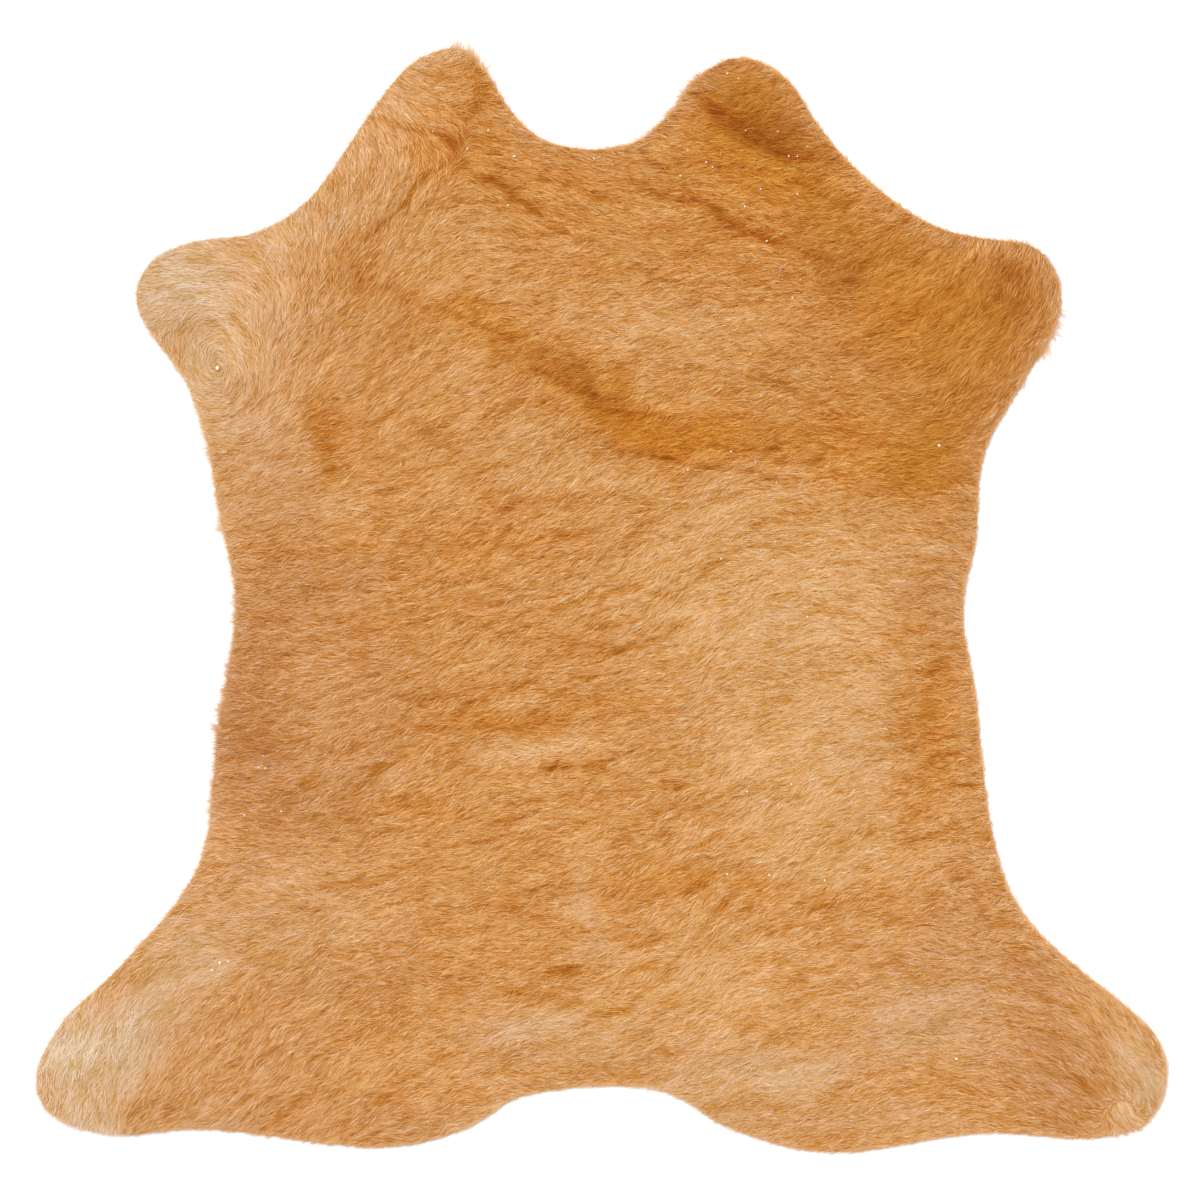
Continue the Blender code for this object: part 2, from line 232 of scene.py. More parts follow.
COAT_TONES = {
    "caramel": screen_colour(209, 147, 86), "straw": screen_colour(215, 181, 156),
    "sand": screen_colour(213, 170, 135), "honey": screen_colour(219, 169, 120),
    "rose": screen_colour(207, 150, 102), "mushroom": screen_colour(208, 159, 118),
    "chestnut": screen_colour(199, 140, 93), "russet": screen_colour(195, 131, 79),
    "amber": screen_colour(203, 128, 38), "rust": screen_colour(192, 121, 38),
    "umber": screen_colour(168, 92, 14),
}
LOCK_SHADING = np.array((1.20, 1.33, 1.34))   # locks shade each other, so each is paler than the coat
COAT_PATCHES = (
    # across, along and half sizes in mm, turned by degrees, tone, strength
    # neck and right prong
    (72, 313, 195, 98, -8, "amber", 0.32), (154, 346, 89, 50, -28, "amber", 0.8),
    (203, 305, 57, 28, -35, "rust", 0.45), (115, 400, 50, 47, -35, "amber", 1.0),
    (129, 387, 47, 20, -33, "umber", 0.8), (111, 423, 24, 13, -25, "rust", 0.5),
    (204, 264, 30, 15, 15, "umber", 0.45),
    # right foreleg, ribs and chest
    (304, 220, 81, 81, 0, "rust", 0.86), (337, 256, 28, 28, 0, "umber", 0.3),
    (247, 244, 41, 49, 0, "amber", 0.6), (264, 125, 50, 50, 15, "rust", 0.95),
    (170, 118, 106, 34, -6, "amber", 0.62),
    # shoulder crease, its darker patches painted shade in the fold, and the foot of the rump
    (-107, 226, 61, 15, -30, "amber", 0.65), (7, 161, 89, 26, -28, "amber", 1.0),
    (-17, 175, 39, 12, -33, "umber", 0.5), (72, 130, 50, 24, -15, "amber", 0.7),
    (93, -395, 50, 24, -10, "sand", 0.75),
    # left foreleg, left prong and left neck
    (-98, 366, 61, 23, -15, "amber", 0.45), (-347, 252, 63, 50, 0, "straw", 1.0),
    (-312, 185, 41, 50, -15, "sand", 0.95), (-287, 130, 34, 45, -10, "sand", 0.6),
    (-265, 264, 34, 61, 5, "sand", 0.55), (-245, 305, 50, 20, 18, "sand", 0.55),
    (-212, 351, 72, 16, 56, "sand", 0.15), (-176, 366, 41, 33, 50, "sand", 0.25),
    (-159, 413, 29, 21, 40, "sand", 0.3), (-102, 410, 11, 24, 0, "amber", 0.95),
    (-131, 297, 57, 33, -10, "honey", 0.35), (-208, 228, 37, 49, 0, "chestnut", 0.22),
    # the first amber patch below paints shade in the dent at the left elbow
    (-224, 125, 16, 40, 20, "amber", 0.5), (-233, 77, 37, 21, 0, "honey", 0.45),
    # left side
    (-276, 77, 47, 39, 0, "rose", 0.85), (-220, 8, 61, 21, 4, "russet", 0.55),
    (-98, 45, 69, 28, 18, "amber", 0.3), (-271, -20, 50, 49, 0, "russet", 0.7),
    (-286, -110, 54, 98, 0, "russet", 1.0), (-245, -175, 49, 33, 0, "chestnut", 0.5),
    (-204, -110, 46, 81, 0, "chestnut", 0.5), (-298, -236, 65, 45, 15, "rose", 0.9),
    (-237, -272, 77, 49, 0, "sand", 0.35), (-220, -313, 77, 20, -4, "chestnut", 0.45),
    (-277, -374, 65, 41, 10, "rose", 0.6), (-438, -374, 42, 50, 20, "straw", 1.0),
    (-385, -360, 50, 34, 20, "straw", 1.0),
    # left thigh and rump lobe
    (-342, -299, 52, 38, 38, "sand", 1.0), (-416, -421, 34, 13, 0, "straw", 0.7),
    (-322, -416, 61, 16, 0, "chestnut", 0.6), (-163, -421, 81, 21, 0, "chestnut", 0.45),
    # back and right loin
    (48, 216, 85, 37, -8, "honey", 0.45), (-33, 110, 65, 21, -22, "honey", 0.55),
    (162, -8, 122, 57, 14, "honey", 0.8), (81, 33, 89, 49, 10, "honey", 0.7),
    (154, -33, 65, 41, 10, "sand", 0.3), (150, -118, 85, 69, 0, "honey", 0.9),
    (182, -203, 69, 41, 20, "honey", 0.8), (198, -114, 37, 57, 0, "sand", 0.3),
    # right side
    (268, 0, 28, 49, 0, "chestnut", 0.5), (266, -98, 31, 77, 4, "amber", 0.55),
    (257, -94, 20, 30, 8, "rust", 0.45), (288, -228, 41, 49, 0, "rose", 0.4),
    # streaks across the back
    (-58, -93, 89, 9, 2, "amber", 0.6), (-50, -118, 57, 11, 4, "honey", 0.5),
    (89, -238, 85, 13, -8, "amber", 0.55), (-147, -167, 57, 11, -8, "amber", 0.3),
    # tail and rump
    (-13, -238, 13, 26, 0, "sand", 0.5), (-11, -283, 28, 10, 0, "straw", 0.3),
    (-33, -354, 85, 34, 0, "sand", 0.5), (-54, -347, 46, 11, 4, "straw", 0.3),
    (-66, -376, 23, 10, 0, "chestnut", 0.6), (81, -313, 81, 41, 0, "honey", 0.7),
    # right rump, thigh and hind leg
    (142, -373, 69, 24, -12, "sand", 0.95), (162, -411, 49, 16, 0, "chestnut", 0.4),
    (211, -429, 73, 11, 0, "sand", 0.4), (272, -333, 73, 49, -12, "mushroom", 0.95),
    (255, -350, 33, 18, -12, "straw", 0.3), (292, -272, 49, 33, 0, "chestnut", 0.45),
    (372, -382, 50, 49, 0, "chestnut", 0.95), (353, -313, 37, 24, -42, "chestnut", 0.8),
    (438, -389, 26, 50, 12, "sand", 1.0), (422, -415, 21, 16, 0, "straw", 0.45),
    (390, -397, 13, 13, 0, "rust", 0.5),
)
PATCH_WARP = 16.0 * MM        # how far a patch's edge wanders
WANDER_PITCHES = (0.05, 0.016)            # in metres, broad and small
RIM_GLOW_REACH = 9.0 * MM         # painted glow along the rim: the hair pales over this far from it
RIM_GLOW_SHARE = 0.25
SMEAR = np.array((0.035, 0.07, 0.15))     # long smears of paler and deeper colour
SMEAR_TURN = 14.0             # degrees
SMEARS = ((0.30, 0.060, 5), (0.35, 0.026, 6))     # narrowing, pitch in metres and chance of each


def turned(places, degrees):
    """Places in axes turned by an angle."""
    c, s = math.cos(math.radians(degrees)), math.sin(math.radians(degrees))
    return np.column_stack([places[:, 0] * c + places[:, 1] * s, places[:, 1] * c - places[:, 0] * s])


def coat_colour(places):
    """The coat's colour at each place, before its locks and creases shade it."""
    broad, small = WANDER_PITCHES
    warped = places + PATCH_WARP * np.column_stack([drift(places, broad, 1), drift(places, broad, 2)])
    warped += 0.4 * PATCH_WARP * np.column_stack([drift(places, small, 3), drift(places, small, 4)])
    colour = np.tile(COAT_TONES["caramel"], (len(places), 1))
    for across, along, half_across, half_along, turn, tone, strength in COAT_PATCHES:
        off = turned(warped - np.array((across, along)) * MM, turn)
        off /= np.array((half_across, half_along)) * MM
        share = strength * np.exp(-(off ** 2).sum(axis=1) ** 1.2)[:, None]
        colour += share * (COAT_TONES[tone] - colour)
    along_smears = turned(warped, SMEAR_TURN)
    smear = sum(drift(along_smears / (1.0, narrow), pitch, seed) for narrow, pitch, seed in SMEARS)
    colour *= np.exp(SMEAR * smear[:, None])
    # painted glow: the coat pales towards the rim
    edge = np.exp(-np.maximum(read_table(inset_table, places), 0.0) / RIM_GLOW_REACH)[:, None]
    colour += RIM_GLOW_SHARE * edge * (COAT_TONES["straw"] - colour)
    return colour * LOCK_SHADING


coat_places, coat_size = table_grid(COAT_CELL)
coat_table = [part.reshape(coat_size) for part in coat_colour(coat_places).T]


def read_coat(places):
    """The coat's colour read from its table."""
    return np.column_stack([read_table(part, places, COAT_CELL) for part in coat_table])


def leave_only(obj):
    """Deselect everything but one object and make it the active one."""
    for other in bpy.context.selected_objects:
        other.select_set(False)
    obj.select_set(True)
    bpy.context.view_layer.objects.active = obj


def corner_places(obj):
    """The places of an object's corners, as an array."""
    flat = np.zeros(len(obj.data.vertices) * 3, np.float32)
    obj.data.vertices.foreach_get("co", flat)
    return flat.reshape(-1, 3).astype(float)


def paint_corners(mesh, name, colours):
    """Store a colour for each corner of a mesh under a name that materials read."""
    layer = mesh.attributes.new(name, "FLOAT_COLOR", "POINT")
    layer.data.foreach_set("color", np.column_stack([colours, np.ones(len(colours))]).ravel())


def number_corners(mesh, name, values):
    """Store a number for each corner of a mesh under a name that materials read."""
    mesh.attributes.new(name, "FLOAT", "POINT").data.foreach_set("value", values)


def plain_node(tree, kind, **given):
    """Add a shader node. A small letter begins a setting, a capital an input: its value or its feed."""
    node = tree.nodes.new(kind)
    for name, value in given.items():
        if name[0].islower():
            setattr(node, name, value)
            continue
        socket = node.inputs[name.replace("_", " ")]
        if isinstance(value, bpy.types.NodeSocket):
            tree.links.new(value, socket)
        else:
            socket.default_value = value
    return node


def stored(tree, name, output="Fac"):
    """A value or colour that a mesh holds for each of its corners."""
    return plain_node(tree, "ShaderNodeAttribute", attribute_name=name).outputs[output]


def noise(tree, scale, detail, roughness=0.5, at=None):
    """A random value, over the piece itself where nothing else is given."""
    if at is None:
        at = plain_node(tree, "ShaderNodeTexCoord").outputs["Object"]
    node = plain_node(
        tree, "ShaderNodeTexNoise", Vector=at, Scale=scale, Detail=detail, Roughness=roughness
    )
    return node.outputs["Fac"]


def blend(tree, factor, colours, stops=(0.0, 1.0)):
    """A colour that goes from one to another as a value goes from stop to stop."""
    ramp = plain_node(tree, "ShaderNodeValToRGB", Fac=factor)
    for element, colour, stop in zip(ramp.color_ramp.elements, colours, stops):
        element.color = (*colour, 1.0)
        element.position = stop
    return ramp.outputs["Color"]


def new_material(name, roughness, specular=0.5):
    """A material with only its shader and output, and the tree they stand in."""
    material = bpy.data.materials.new(name)
    material.use_nodes = True
    shader = material.node_tree.nodes["Principled BSDF"]
    shader.inputs["Roughness"].default_value = roughness
    shader.inputs["Specular IOR Level"].default_value = specular
    return material, material.node_tree, shader


def raise_surface(tree, shader, height, strength, distance):
    """Let a value raise a shader's surface by a distance."""
    bump = plain_node(tree, "ShaderNodeBump", Height=height, Strength=strength, Distance=distance)
    tree.links.new(bump.outputs["Normal"], shader.inputs["Normal"])


def suede_material():
    """Flesh side: pale buffed suede, mottled, with short fibres."""
    material, tree, shader = new_material("buffed_suede", roughness=0.95, specular=0.2)
    mottle = noise(tree, 22.0, 4.0, 0.6)
    colour = blend(tree, mottle, (screen_colour(188, 172, 150), screen_colour(222, 210, 190)), (0.3, 0.72))
    tree.links.new(colour, shader.inputs["Base Color"])
    raise_surface(tree, shader, noise(tree, 900.0, 3.0, 0.7), 0.35, 0.0004)
    return material


def multiplied(tree, first, second):
    """One colour laid over another so that it darkens it."""
    mix = plain_node(
        tree, "ShaderNodeMix", data_type="RGBA", blend_type="MULTIPLY", Factor=1.0, A=first, B=second
    )
    return mix.outputs["Result"]


def hair_bed_material():
    """Hair side of the skin: close roots and the pores between them, painted dark with the shade at the
    bottom of the nap.
    """
    material, tree, shader = new_material("hair_bed", roughness=0.8, specular=0.2)
    place = plain_node(tree, "ShaderNodeTexCoord").outputs["Object"]
    turn = (0.0, 0.0, math.radians(-15.0))
    lie = plain_node(tree, "ShaderNodeMapping", Vector=place, Rotation=turn, Scale=(220.0, 1400.0, 220.0))
    roots = noise(tree, 1.0, 2.0, 0.6, at=lie.outputs["Vector"])
    # painted shade: the bed darkens the coat's colour as the bottom of the nap lies in shadow
    shade = blend(tree, roots, ((0.52, 0.36, 0.16), (0.92, 0.84, 0.66)), (0.3, 0.7))
    colour = multiplied(tree, stored(tree, "coat", "Color"), shade)
    tree.links.new(colour, shader.inputs["Base Color"])
    raise_surface(tree, shader, roots, 0.6, 0.0005)
    return material


def fibre_material(name, scale, colours, roughness):
    """Fine pale fibres or grains between two colours."""
    material, tree, shader = new_material(name, roughness)
    tree.links.new(blend(tree, noise(tree, scale, 2.0), colours), shader.inputs["Base Color"])
    return material


def cut_skin():
    """The skin sheet: a fine grid cut to the outline, given its thickness, top and flat underside."""
    low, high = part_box("hide")
    bpy.ops.mesh.primitive_grid_add(
        x_subdivisions=math.ceil((high.x - low.x) / SKIN_CELL),
        y_subdivisions=math.ceil((high.y - low.y) / SKIN_CELL),
        size=1.0,
        location=(0.0, 0.0, 0.0),
    )
    skin = bpy.context.active_object
    skin.name = "hide_skin"
    skin.scale = (high.x - low.x, high.y - low.y, 1.0)
    leave_only(skin)
    bpy.ops.object.transform_apply(location=True, rotation=True, scale=True)

    places = corner_places(skin)[:, :2]
    inside = read_table(inset_table, places) - EDGE_DRAWN_IN > -0.35 * SKIN_CELL
    faces = np.array([face.vertices[:] for face in skin.data.polygons])
    bpy.ops.object.mode_set(mode="EDIT")
    bpy.ops.mesh.select_mode(type="FACE")
    bpy.ops.mesh.select_all(action="DESELECT")
    bpy.ops.object.mode_set(mode="OBJECT")
    skin.data.polygons.foreach_set("select", ~inside[faces].all(axis=1))
    bpy.ops.object.mode_set(mode="EDIT")
    bpy.ops.mesh.delete(type="FACE")
    bpy.ops.mesh.select_mode(type="VERT")
    bpy.ops.mesh.select_all(action="DESELECT")
    bpy.ops.mesh.select_non_manifold(extend=False)
    bpy.ops.object.mode_set(mode="OBJECT")
    on_edge = np.zeros(len(skin.data.vertices), bool)
    skin.data.vertices.foreach_get("select", on_edge)
    places = corner_places(skin)
    for k in np.nonzero(on_edge)[0]:
        nearest = ((cut_edge - places[k, :2]) ** 2).sum(axis=1).argmin()
        places[k, :2] = cut_edge[nearest]
    skin.data.vertices.foreach_set("co", places.ravel())
    bpy.ops.object.mode_set(mode="EDIT")
    bpy.ops.mesh.select_all(action="INVERT")
    bpy.ops.mesh.vertices_smooth(factor=0.5, repeat=6)
    bpy.ops.object.mode_set(mode="OBJECT")

    thickness = skin.modifiers.new("thickness", "SOLIDIFY")
    thickness.thickness = THINNEST_SKIN
    thickness.offset = -1.0
    bpy.ops.object.modifier_apply(modifier=thickness.name)
    places = corner_places(skin)
    on_top = places[:, 2] > -0.5 * THINNEST_SKIN
    places[:, 2] = np.where(on_top, skin_height(places[:, :2]), 0.0)
    skin.data.vertices.foreach_set("co", places.ravel())
    skin.data.update()
    return skin


skin = cut_skin()
paint_corners(skin.data, "coat", read_coat(corner_places(skin)[:, :2]))
skin.data.materials.append(hair_bed_material())
skin.data.materials.append(suede_material())
LEATHER_MIDDLE = (screen_colour(196, 178, 158), screen_colour(228, 216, 202))    # the cut shows grey-white
skin.data.materials.append(fibre_material("cut_leather_edge", 1100.0, LEATHER_MIDDLE, 0.9))
for face in skin.data.polygons:
    face.material_index = 0 if face.normal.z > 0.5 else 1 if face.normal.z < -0.5 else 2
leave_only(skin)
bpy.ops.object.shade_smooth_by_angle(angle=math.radians(40))
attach(skin, "root")
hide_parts("hide")

# The undercoat: short fine hair that stands close over the whole skin, its colour painted darker as the
# shade in the depth of the nap. It grows from the skin and lies the way of the coat above it, towards the
# tail and the left side, with a whorl on the left foreleg and a ridge where two lies meet on the neck.

BASE_LIE = 195.0              # degrees anticlockwise from across, the way the hair's tips point
BASE_WEIGHT = 0.03
HAIR_LIE = (
    # across, along and reach in mm, degrees that the tips point, side of the ridge if it keeps to one
    # left side, from the hind leg to the neck
    (-432, -382, 45, 262), (-391, -350, 45, 248), (-334, -335, 45, 226), (-342, -281, 35, 187),
    (-286, -382, 45, 222), (-204, -378, 50, 208), (-314, -220, 40, 166), (-286, -114, 60, 186),
    (-286, -8, 55, 182), (-269, 65, 50, 188), (-261, 130, 45, 206), (-188, 187, 50, 212),
    (-192, 260, 38, 220), (-222, 322, 20, 280), (-200, 366, 26, 294),
    # left prong, on either side of its ridge
    (-159, 397, 22, 322, "left"), (-133, 411, 18, 2, "left"), (-113, 434, 16, 44, "left"),
    (-82, 397, 18, 194, "right"),
    # left neck and foreleg
    (-131, 374, 14, 330), (-159, 340, 26, 240), (-194, 329, 24, 262), (-334, 167, 22, 342),
    # neck bay and right prong
    (-46, 354, 40, 168), (40, 370, 36, 169), (81, 411, 22, 164), (133, 411, 26, 200), (178, 366, 30, 200),
    (113, 305, 45, 178),
    # right side, from the foreleg to the hind leg
    (235, 285, 40, 218), (333, 272, 34, 258), (329, 195, 38, 240), (284, 203, 30, 214),
    (211, 220, 45, 190), (243, 106, 50, 178), (284, 138, 20, 204), (268, -8, 50, 173),
    (268, -114, 50, 184), (292, -220, 40, 192), (292, -293, 45, 182), (373, -333, 42, 149),
    (422, -374, 38, 123), (333, -407, 40, 172),
    # back, loin and rump
    (32, 244, 60, 192), (-33, 81, 60, 207), (48, 12, 40, 214), (-1, -81, 70, 194), (-172, -146, 45, 210),
    (97, -220, 70, 209), (-98, -325, 80, 188), (178, -358, 70, 192),
    # left foreleg and shoulder
    (-257, 294, 18, 312), (-246, 275, 17, 286), (-229, 289, 18, 270), (-208, 293, 18, 252),
    (-203, 267, 18, 238), (-245, 244, 19, 264), (-224, 229, 19, 243), (-248, 203, 19, 252),
    (-220, 189, 20, 224), (-265, 169, 18, 232), (-286, 283, 16, 343), (-276, 255, 15, 318),
    (-261, 236, 14, 286), (-316, 280, 18, 2), (-320, 254, 17, 352), (-349, 275, 18, 12),
    (-367, 252, 18, 358), (-352, 234, 15, 342),
    # smaller turns on the back, the legs and the right neck
    (44, 81, 26, 193), (142, 37, 30, 188), (215, 24, 32, 186), (-186, -197, 32, 181),
    (-315, -238, 14, 218), (-29, -268, 18, 176), (-347, -423, 20, 188), (421, -416, 17, 312),
    (264, -386, 26, 175), (44, -232, 22, 213), (-190, -134, 20, 211), (133, 348, 22, 175),
    (172, 275, 22, 179), (129, 203, 22, 197), (247, 202, 16, 176), (-233, 129, 20, 197),
)
WHORL = (-311.9 * MM, 190.3 * MM)
WHORL_LEAN = 118.0            # degrees: the whorl's rings are drawn out this way
WHORL_LENGTHENING = 1.4
WHORL_REACH = 34.0 * MM
WHORL_WEIGHT = 6.0
WHORL_SPREAD = 3.0            # degrees that the hair leans out of its ring
WHORL_BARE = 1.6 * MM         # bare skin in its middle
SWAYS = ((0.12, 0.045, 11), (0.14, 0.019, 12), (0.14, 0.009, 13))     # in radians, pitch, chance
RIDGE = (-103.0 * MM, 388.0 * MM)     # foot of the ridge on the left prong, left of which the lie turns
OVER_RIDGE = 0.05             # how much of an arrow that keeps to one side works on the other


def lie_of_hair(places):
    """The way the tips point at each place, as unit directions."""
    base = math.radians(BASE_LIE)
    flow = np.tile(np.array((math.cos(base), math.sin(base))) * BASE_WEIGHT, (len(places), 1))
    on_prong = places[:, 1] > RIDGE[1]
    left_of_ridge = places[:, 0] < RIDGE[0]
    for across, along, reach, degrees, *side in HAIR_LIE:
        off = (places - np.array((across, along)) * MM) / (reach * MM)
        weight = np.exp(-0.5 * (off ** 2).sum(axis=1))
        if side:
            over_ridge = left_of_ridge if side == ["right"] else ~left_of_ridge
            weight = weight * np.where(on_prong & over_ridge, OVER_RIDGE, 1.0)
        angle = math.radians(degrees)
        flow += weight[:, None] * np.array((math.cos(angle), math.sin(angle)))
    along_whorl, across_whorl = turned(places - np.array(WHORL), WHORL_LEAN).T
    along_whorl = along_whorl / WHORL_LENGTHENING
    away = np.hypot(along_whorl, across_whorl)
    ring = np.column_stack([across_whorl * WHORL_LENGTHENING, -along_whorl])
    ring = turned(ring, -WHORL_LEAN)
    ring /= np.maximum(np.linalg.norm(ring, axis=1), 0.1 * MM)[:, None]
    ring = turned(ring, -WHORL_SPREAD)
    pull = WHORL_WEIGHT * np.exp(-(away / WHORL_REACH) ** 2)
    flow += pull[:, None] * ring
    broad, middling, fine = (amount * drift(places, pitch, seed) for amount, pitch, seed in SWAYS)
    sway = broad + middling + fine * (away > 2 * WHORL_REACH)
    angle = np.arctan2(flow[:, 1], flow[:, 0]) + sway
    return np.column_stack([np.cos(angle), np.sin(angle)])


def tuft_of(places, lie, pitch, stretch, seed):
    """Each hair's tuft: the way to the tuft's middle, and two random numbers that it shares."""
    home = np.floor(places / pitch + 1000.0)
    nearest = np.full(len(places), np.inf)
    to_middle = np.zeros_like(places)
    shared = np.zeros_like(places)
    reach = math.ceil(stretch)
    for i in range(-reach, reach + 1):
        for j in range(-reach, reach + 1):
            cell = home + (i, j)
            jitter = np.column_stack([chance(cell, seed), chance(cell, seed + 1)])
            gap = (cell + jitter - 1000.0) * pitch - places
            along = (gap * lie).sum(axis=1) / stretch
            across = gap[:, 0] * lie[:, 1] - gap[:, 1] * lie[:, 0]
            away = along ** 2 + across ** 2
            closer = away < nearest
            nearest = np.where(closer, away, nearest)
            to_middle[closer] = gap[closer]
            shared[closer] = np.column_stack([chance(cell, seed + 2), chance(cell, seed + 3)])[closer]
    return to_middle, 2 * shared - 1


def take_apart(obj):
    """A small shape's corners and triangles. Its object goes."""
    corners = corner_places(obj)
    triangles = np.array([face.vertices[:] for face in obj.data.polygons])
    bpy.data.objects.remove(obj, do_unlink=True)
    return corners, triangles


def model_lock(bends):
    """One lock of hair, flat and pointed, one wide and one long, as corners and triangles."""
    bpy.ops.mesh.primitive_grid_add(x_subdivisions=1, y_subdivisions=1 + bends, size=1.0)
    lock = bpy.context.active_object
    leave_only(lock)
    bpy.ops.object.mode_set(mode="EDIT")
    bpy.ops.mesh.select_mode(type="VERT")
    bpy.ops.mesh.select_all(action="SELECT")
    bpy.ops.transform.translate(value=(0.0, 0.5, 0.0))
    bpy.ops.mesh.select_all(action="DESELECT")
    bpy.ops.object.mode_set(mode="OBJECT")
    for vert in lock.data.vertices:
        vert.select = vert.co.y > 0.9
    bpy.ops.object.mode_set(mode="EDIT")
    bpy.ops.mesh.merge(type="CENTER")
    bpy.ops.mesh.select_all(action="SELECT")
    bpy.ops.mesh.quads_convert_to_tris()
    bpy.ops.object.mode_set(mode="OBJECT")
    corners, triangles = take_apart(lock)
    return corners[:, :2], triangles


def stamp_locks(name, lock, spine, width, roll, colours, cells):
    """Join a copy of the lock for each spine of three points into one mesh.

    colours holds the coat's colour at each of the three points.
    """
    corners, triangles = lock
    count = len(spine)
    run = spine[:, 2, :2] - spine[:, 0, :2]
    run /= np.maximum(np.linalg.norm(run, axis=1), 0.01 * MM)[:, None]
    side = np.column_stack([run[:, 1] * np.cos(roll), -run[:, 0] * np.cos(roll), np.sin(roll)])
    points = np.zeros((count, len(corners), 3))
    coat = np.zeros((count, len(corners), 3))
    for k, (across, along) in enumerate(corners):
        first = min(int(along * 2), 1)
        share = along * 2 - first
        middle = spine[:, first] * (1 - share) + spine[:, first + 1] * share
        points[:, k] = middle + across * width[:, None] * side
        coat[:, k] = colours[:, first] * (1 - share) + colours[:, first + 1] * share
    faces = (triangles[None] + (np.arange(count) * len(corners))[:, None, None]).reshape(-1, 3)
    mesh = bpy.data.meshes.new(name)
    mesh.vertices.add(count * len(corners))
    mesh.vertices.foreach_set("co", points.ravel())
    mesh.loops.add(faces.size)
    mesh.loops.foreach_set("vertex_index", faces.ravel().astype(np.int32))
    mesh.polygons.add(len(faces))
    mesh.polygons.foreach_set("loop_start", np.arange(0, faces.size, 3, dtype=np.int32))
    paint_corners(mesh, "coat", coat.reshape(-1, 3))
    number_corners(mesh, "along_hair", np.tile(corners[:, 1], count))
    number_corners(mesh, "across_hair", np.tile(corners[:, 0], count))
    number_corners(mesh, "hair_chance", np.repeat(np.arange(count) * 0.618034 % 1.0, len(corners)))
    layout = mesh.uv_layers.new(name="OFBake")
    corner_in_cell = (corners + (0.5, 0.0)) * 0.72 + 0.14
    cell = np.column_stack([np.arange(count) % cells, np.arange(count) // cells])
    uv = (cell[:, None, :] + corner_in_cell[None]) / cells
    layout.data.foreach_set("uv", uv.reshape(-1, 2)[faces.ravel()].ravel())
    mesh.update(calc_edges=True)
    piece = bpy.data.objects.new(name, mesh)
    bpy.context.scene.collection.objects.link(piece)
    return piece


def root_places(pitch, seed):
    """Roots spread evenly but not in rows over the skin."""
    dice = np.random.default_rng(seed)
    low = cut_edge.min(axis=0)
    high = cut_edge.max(axis=0)
    counts = np.ceil((high - low) / pitch).astype(int)
    i, j = np.meshgrid(np.arange(counts[0]), np.arange(counts[1]), indexing="ij")
    roots = low + (np.column_stack([i.ravel(), j.ravel()]) + dice.random((i.size, 2))) * pitch
    inset = read_table(inset_table, roots) - EDGE_DRAWN_IN
    from_whorl = np.linalg.norm(roots - np.array(WHORL), axis=1)
    return roots[(inset > 0.2 * MM) & (from_whorl > WHORL_BARE)], dice


DARKER = np.array((0.23, 0.49, 1.70))   # what a step of shade takes off red, green and blue, as powers of e
PALER = np.array((0.09, 0.23, 0.47))    # and what a step of light adds
COOLEST = 0.82               # the most blue a hair has, as a share of its green
CALM = 0.5                   # how much less the palest hair differs from its neighbours
PALE_FROM = 0.12             # blue of the coat where that begins
PALE_SPAN = 0.20
DROOP = 7.0 * MM             # past the cut the hair sinks to the floor over this far
OVERHANG = 1.0 * MM
FLANK_OVERHANG = 1.3 * MM
SMALL_TUFTS = (6.5 * MM, 2.6, 21)     # how far apart, how much longer than wide, their own chance
LARGE_TUFTS = (19.0 * MM, 2.2, 31)
SMALL_LEAN = 11.0             # degrees that small tufts, large tufts and single hairs lean aside
LARGE_LEAN = 8.0
HAIR_LEAN = 14.0
HAIR_ROLL = 15.0
LENGTH_SPREAD = 0.18          # how far hairs and small tufts differ in length
TUFT_LENGTH_SPREAD = 0.12
TURN_ALONG = 0.8              # how much of the lie's turn a hair follows
GATHERING = 0.35              # how far tips draw together in a tuft
LOCK_LIFT = 0.06              # how far locks, tufts and streaks rise and sink, as shares of the nap
FINE_LIFT = 0.08
BROAD_LIFT = 0.10
LOWEST_HAIR = 0.25 * MM
PALEST = 0.95                 # no hair throws back more light than this

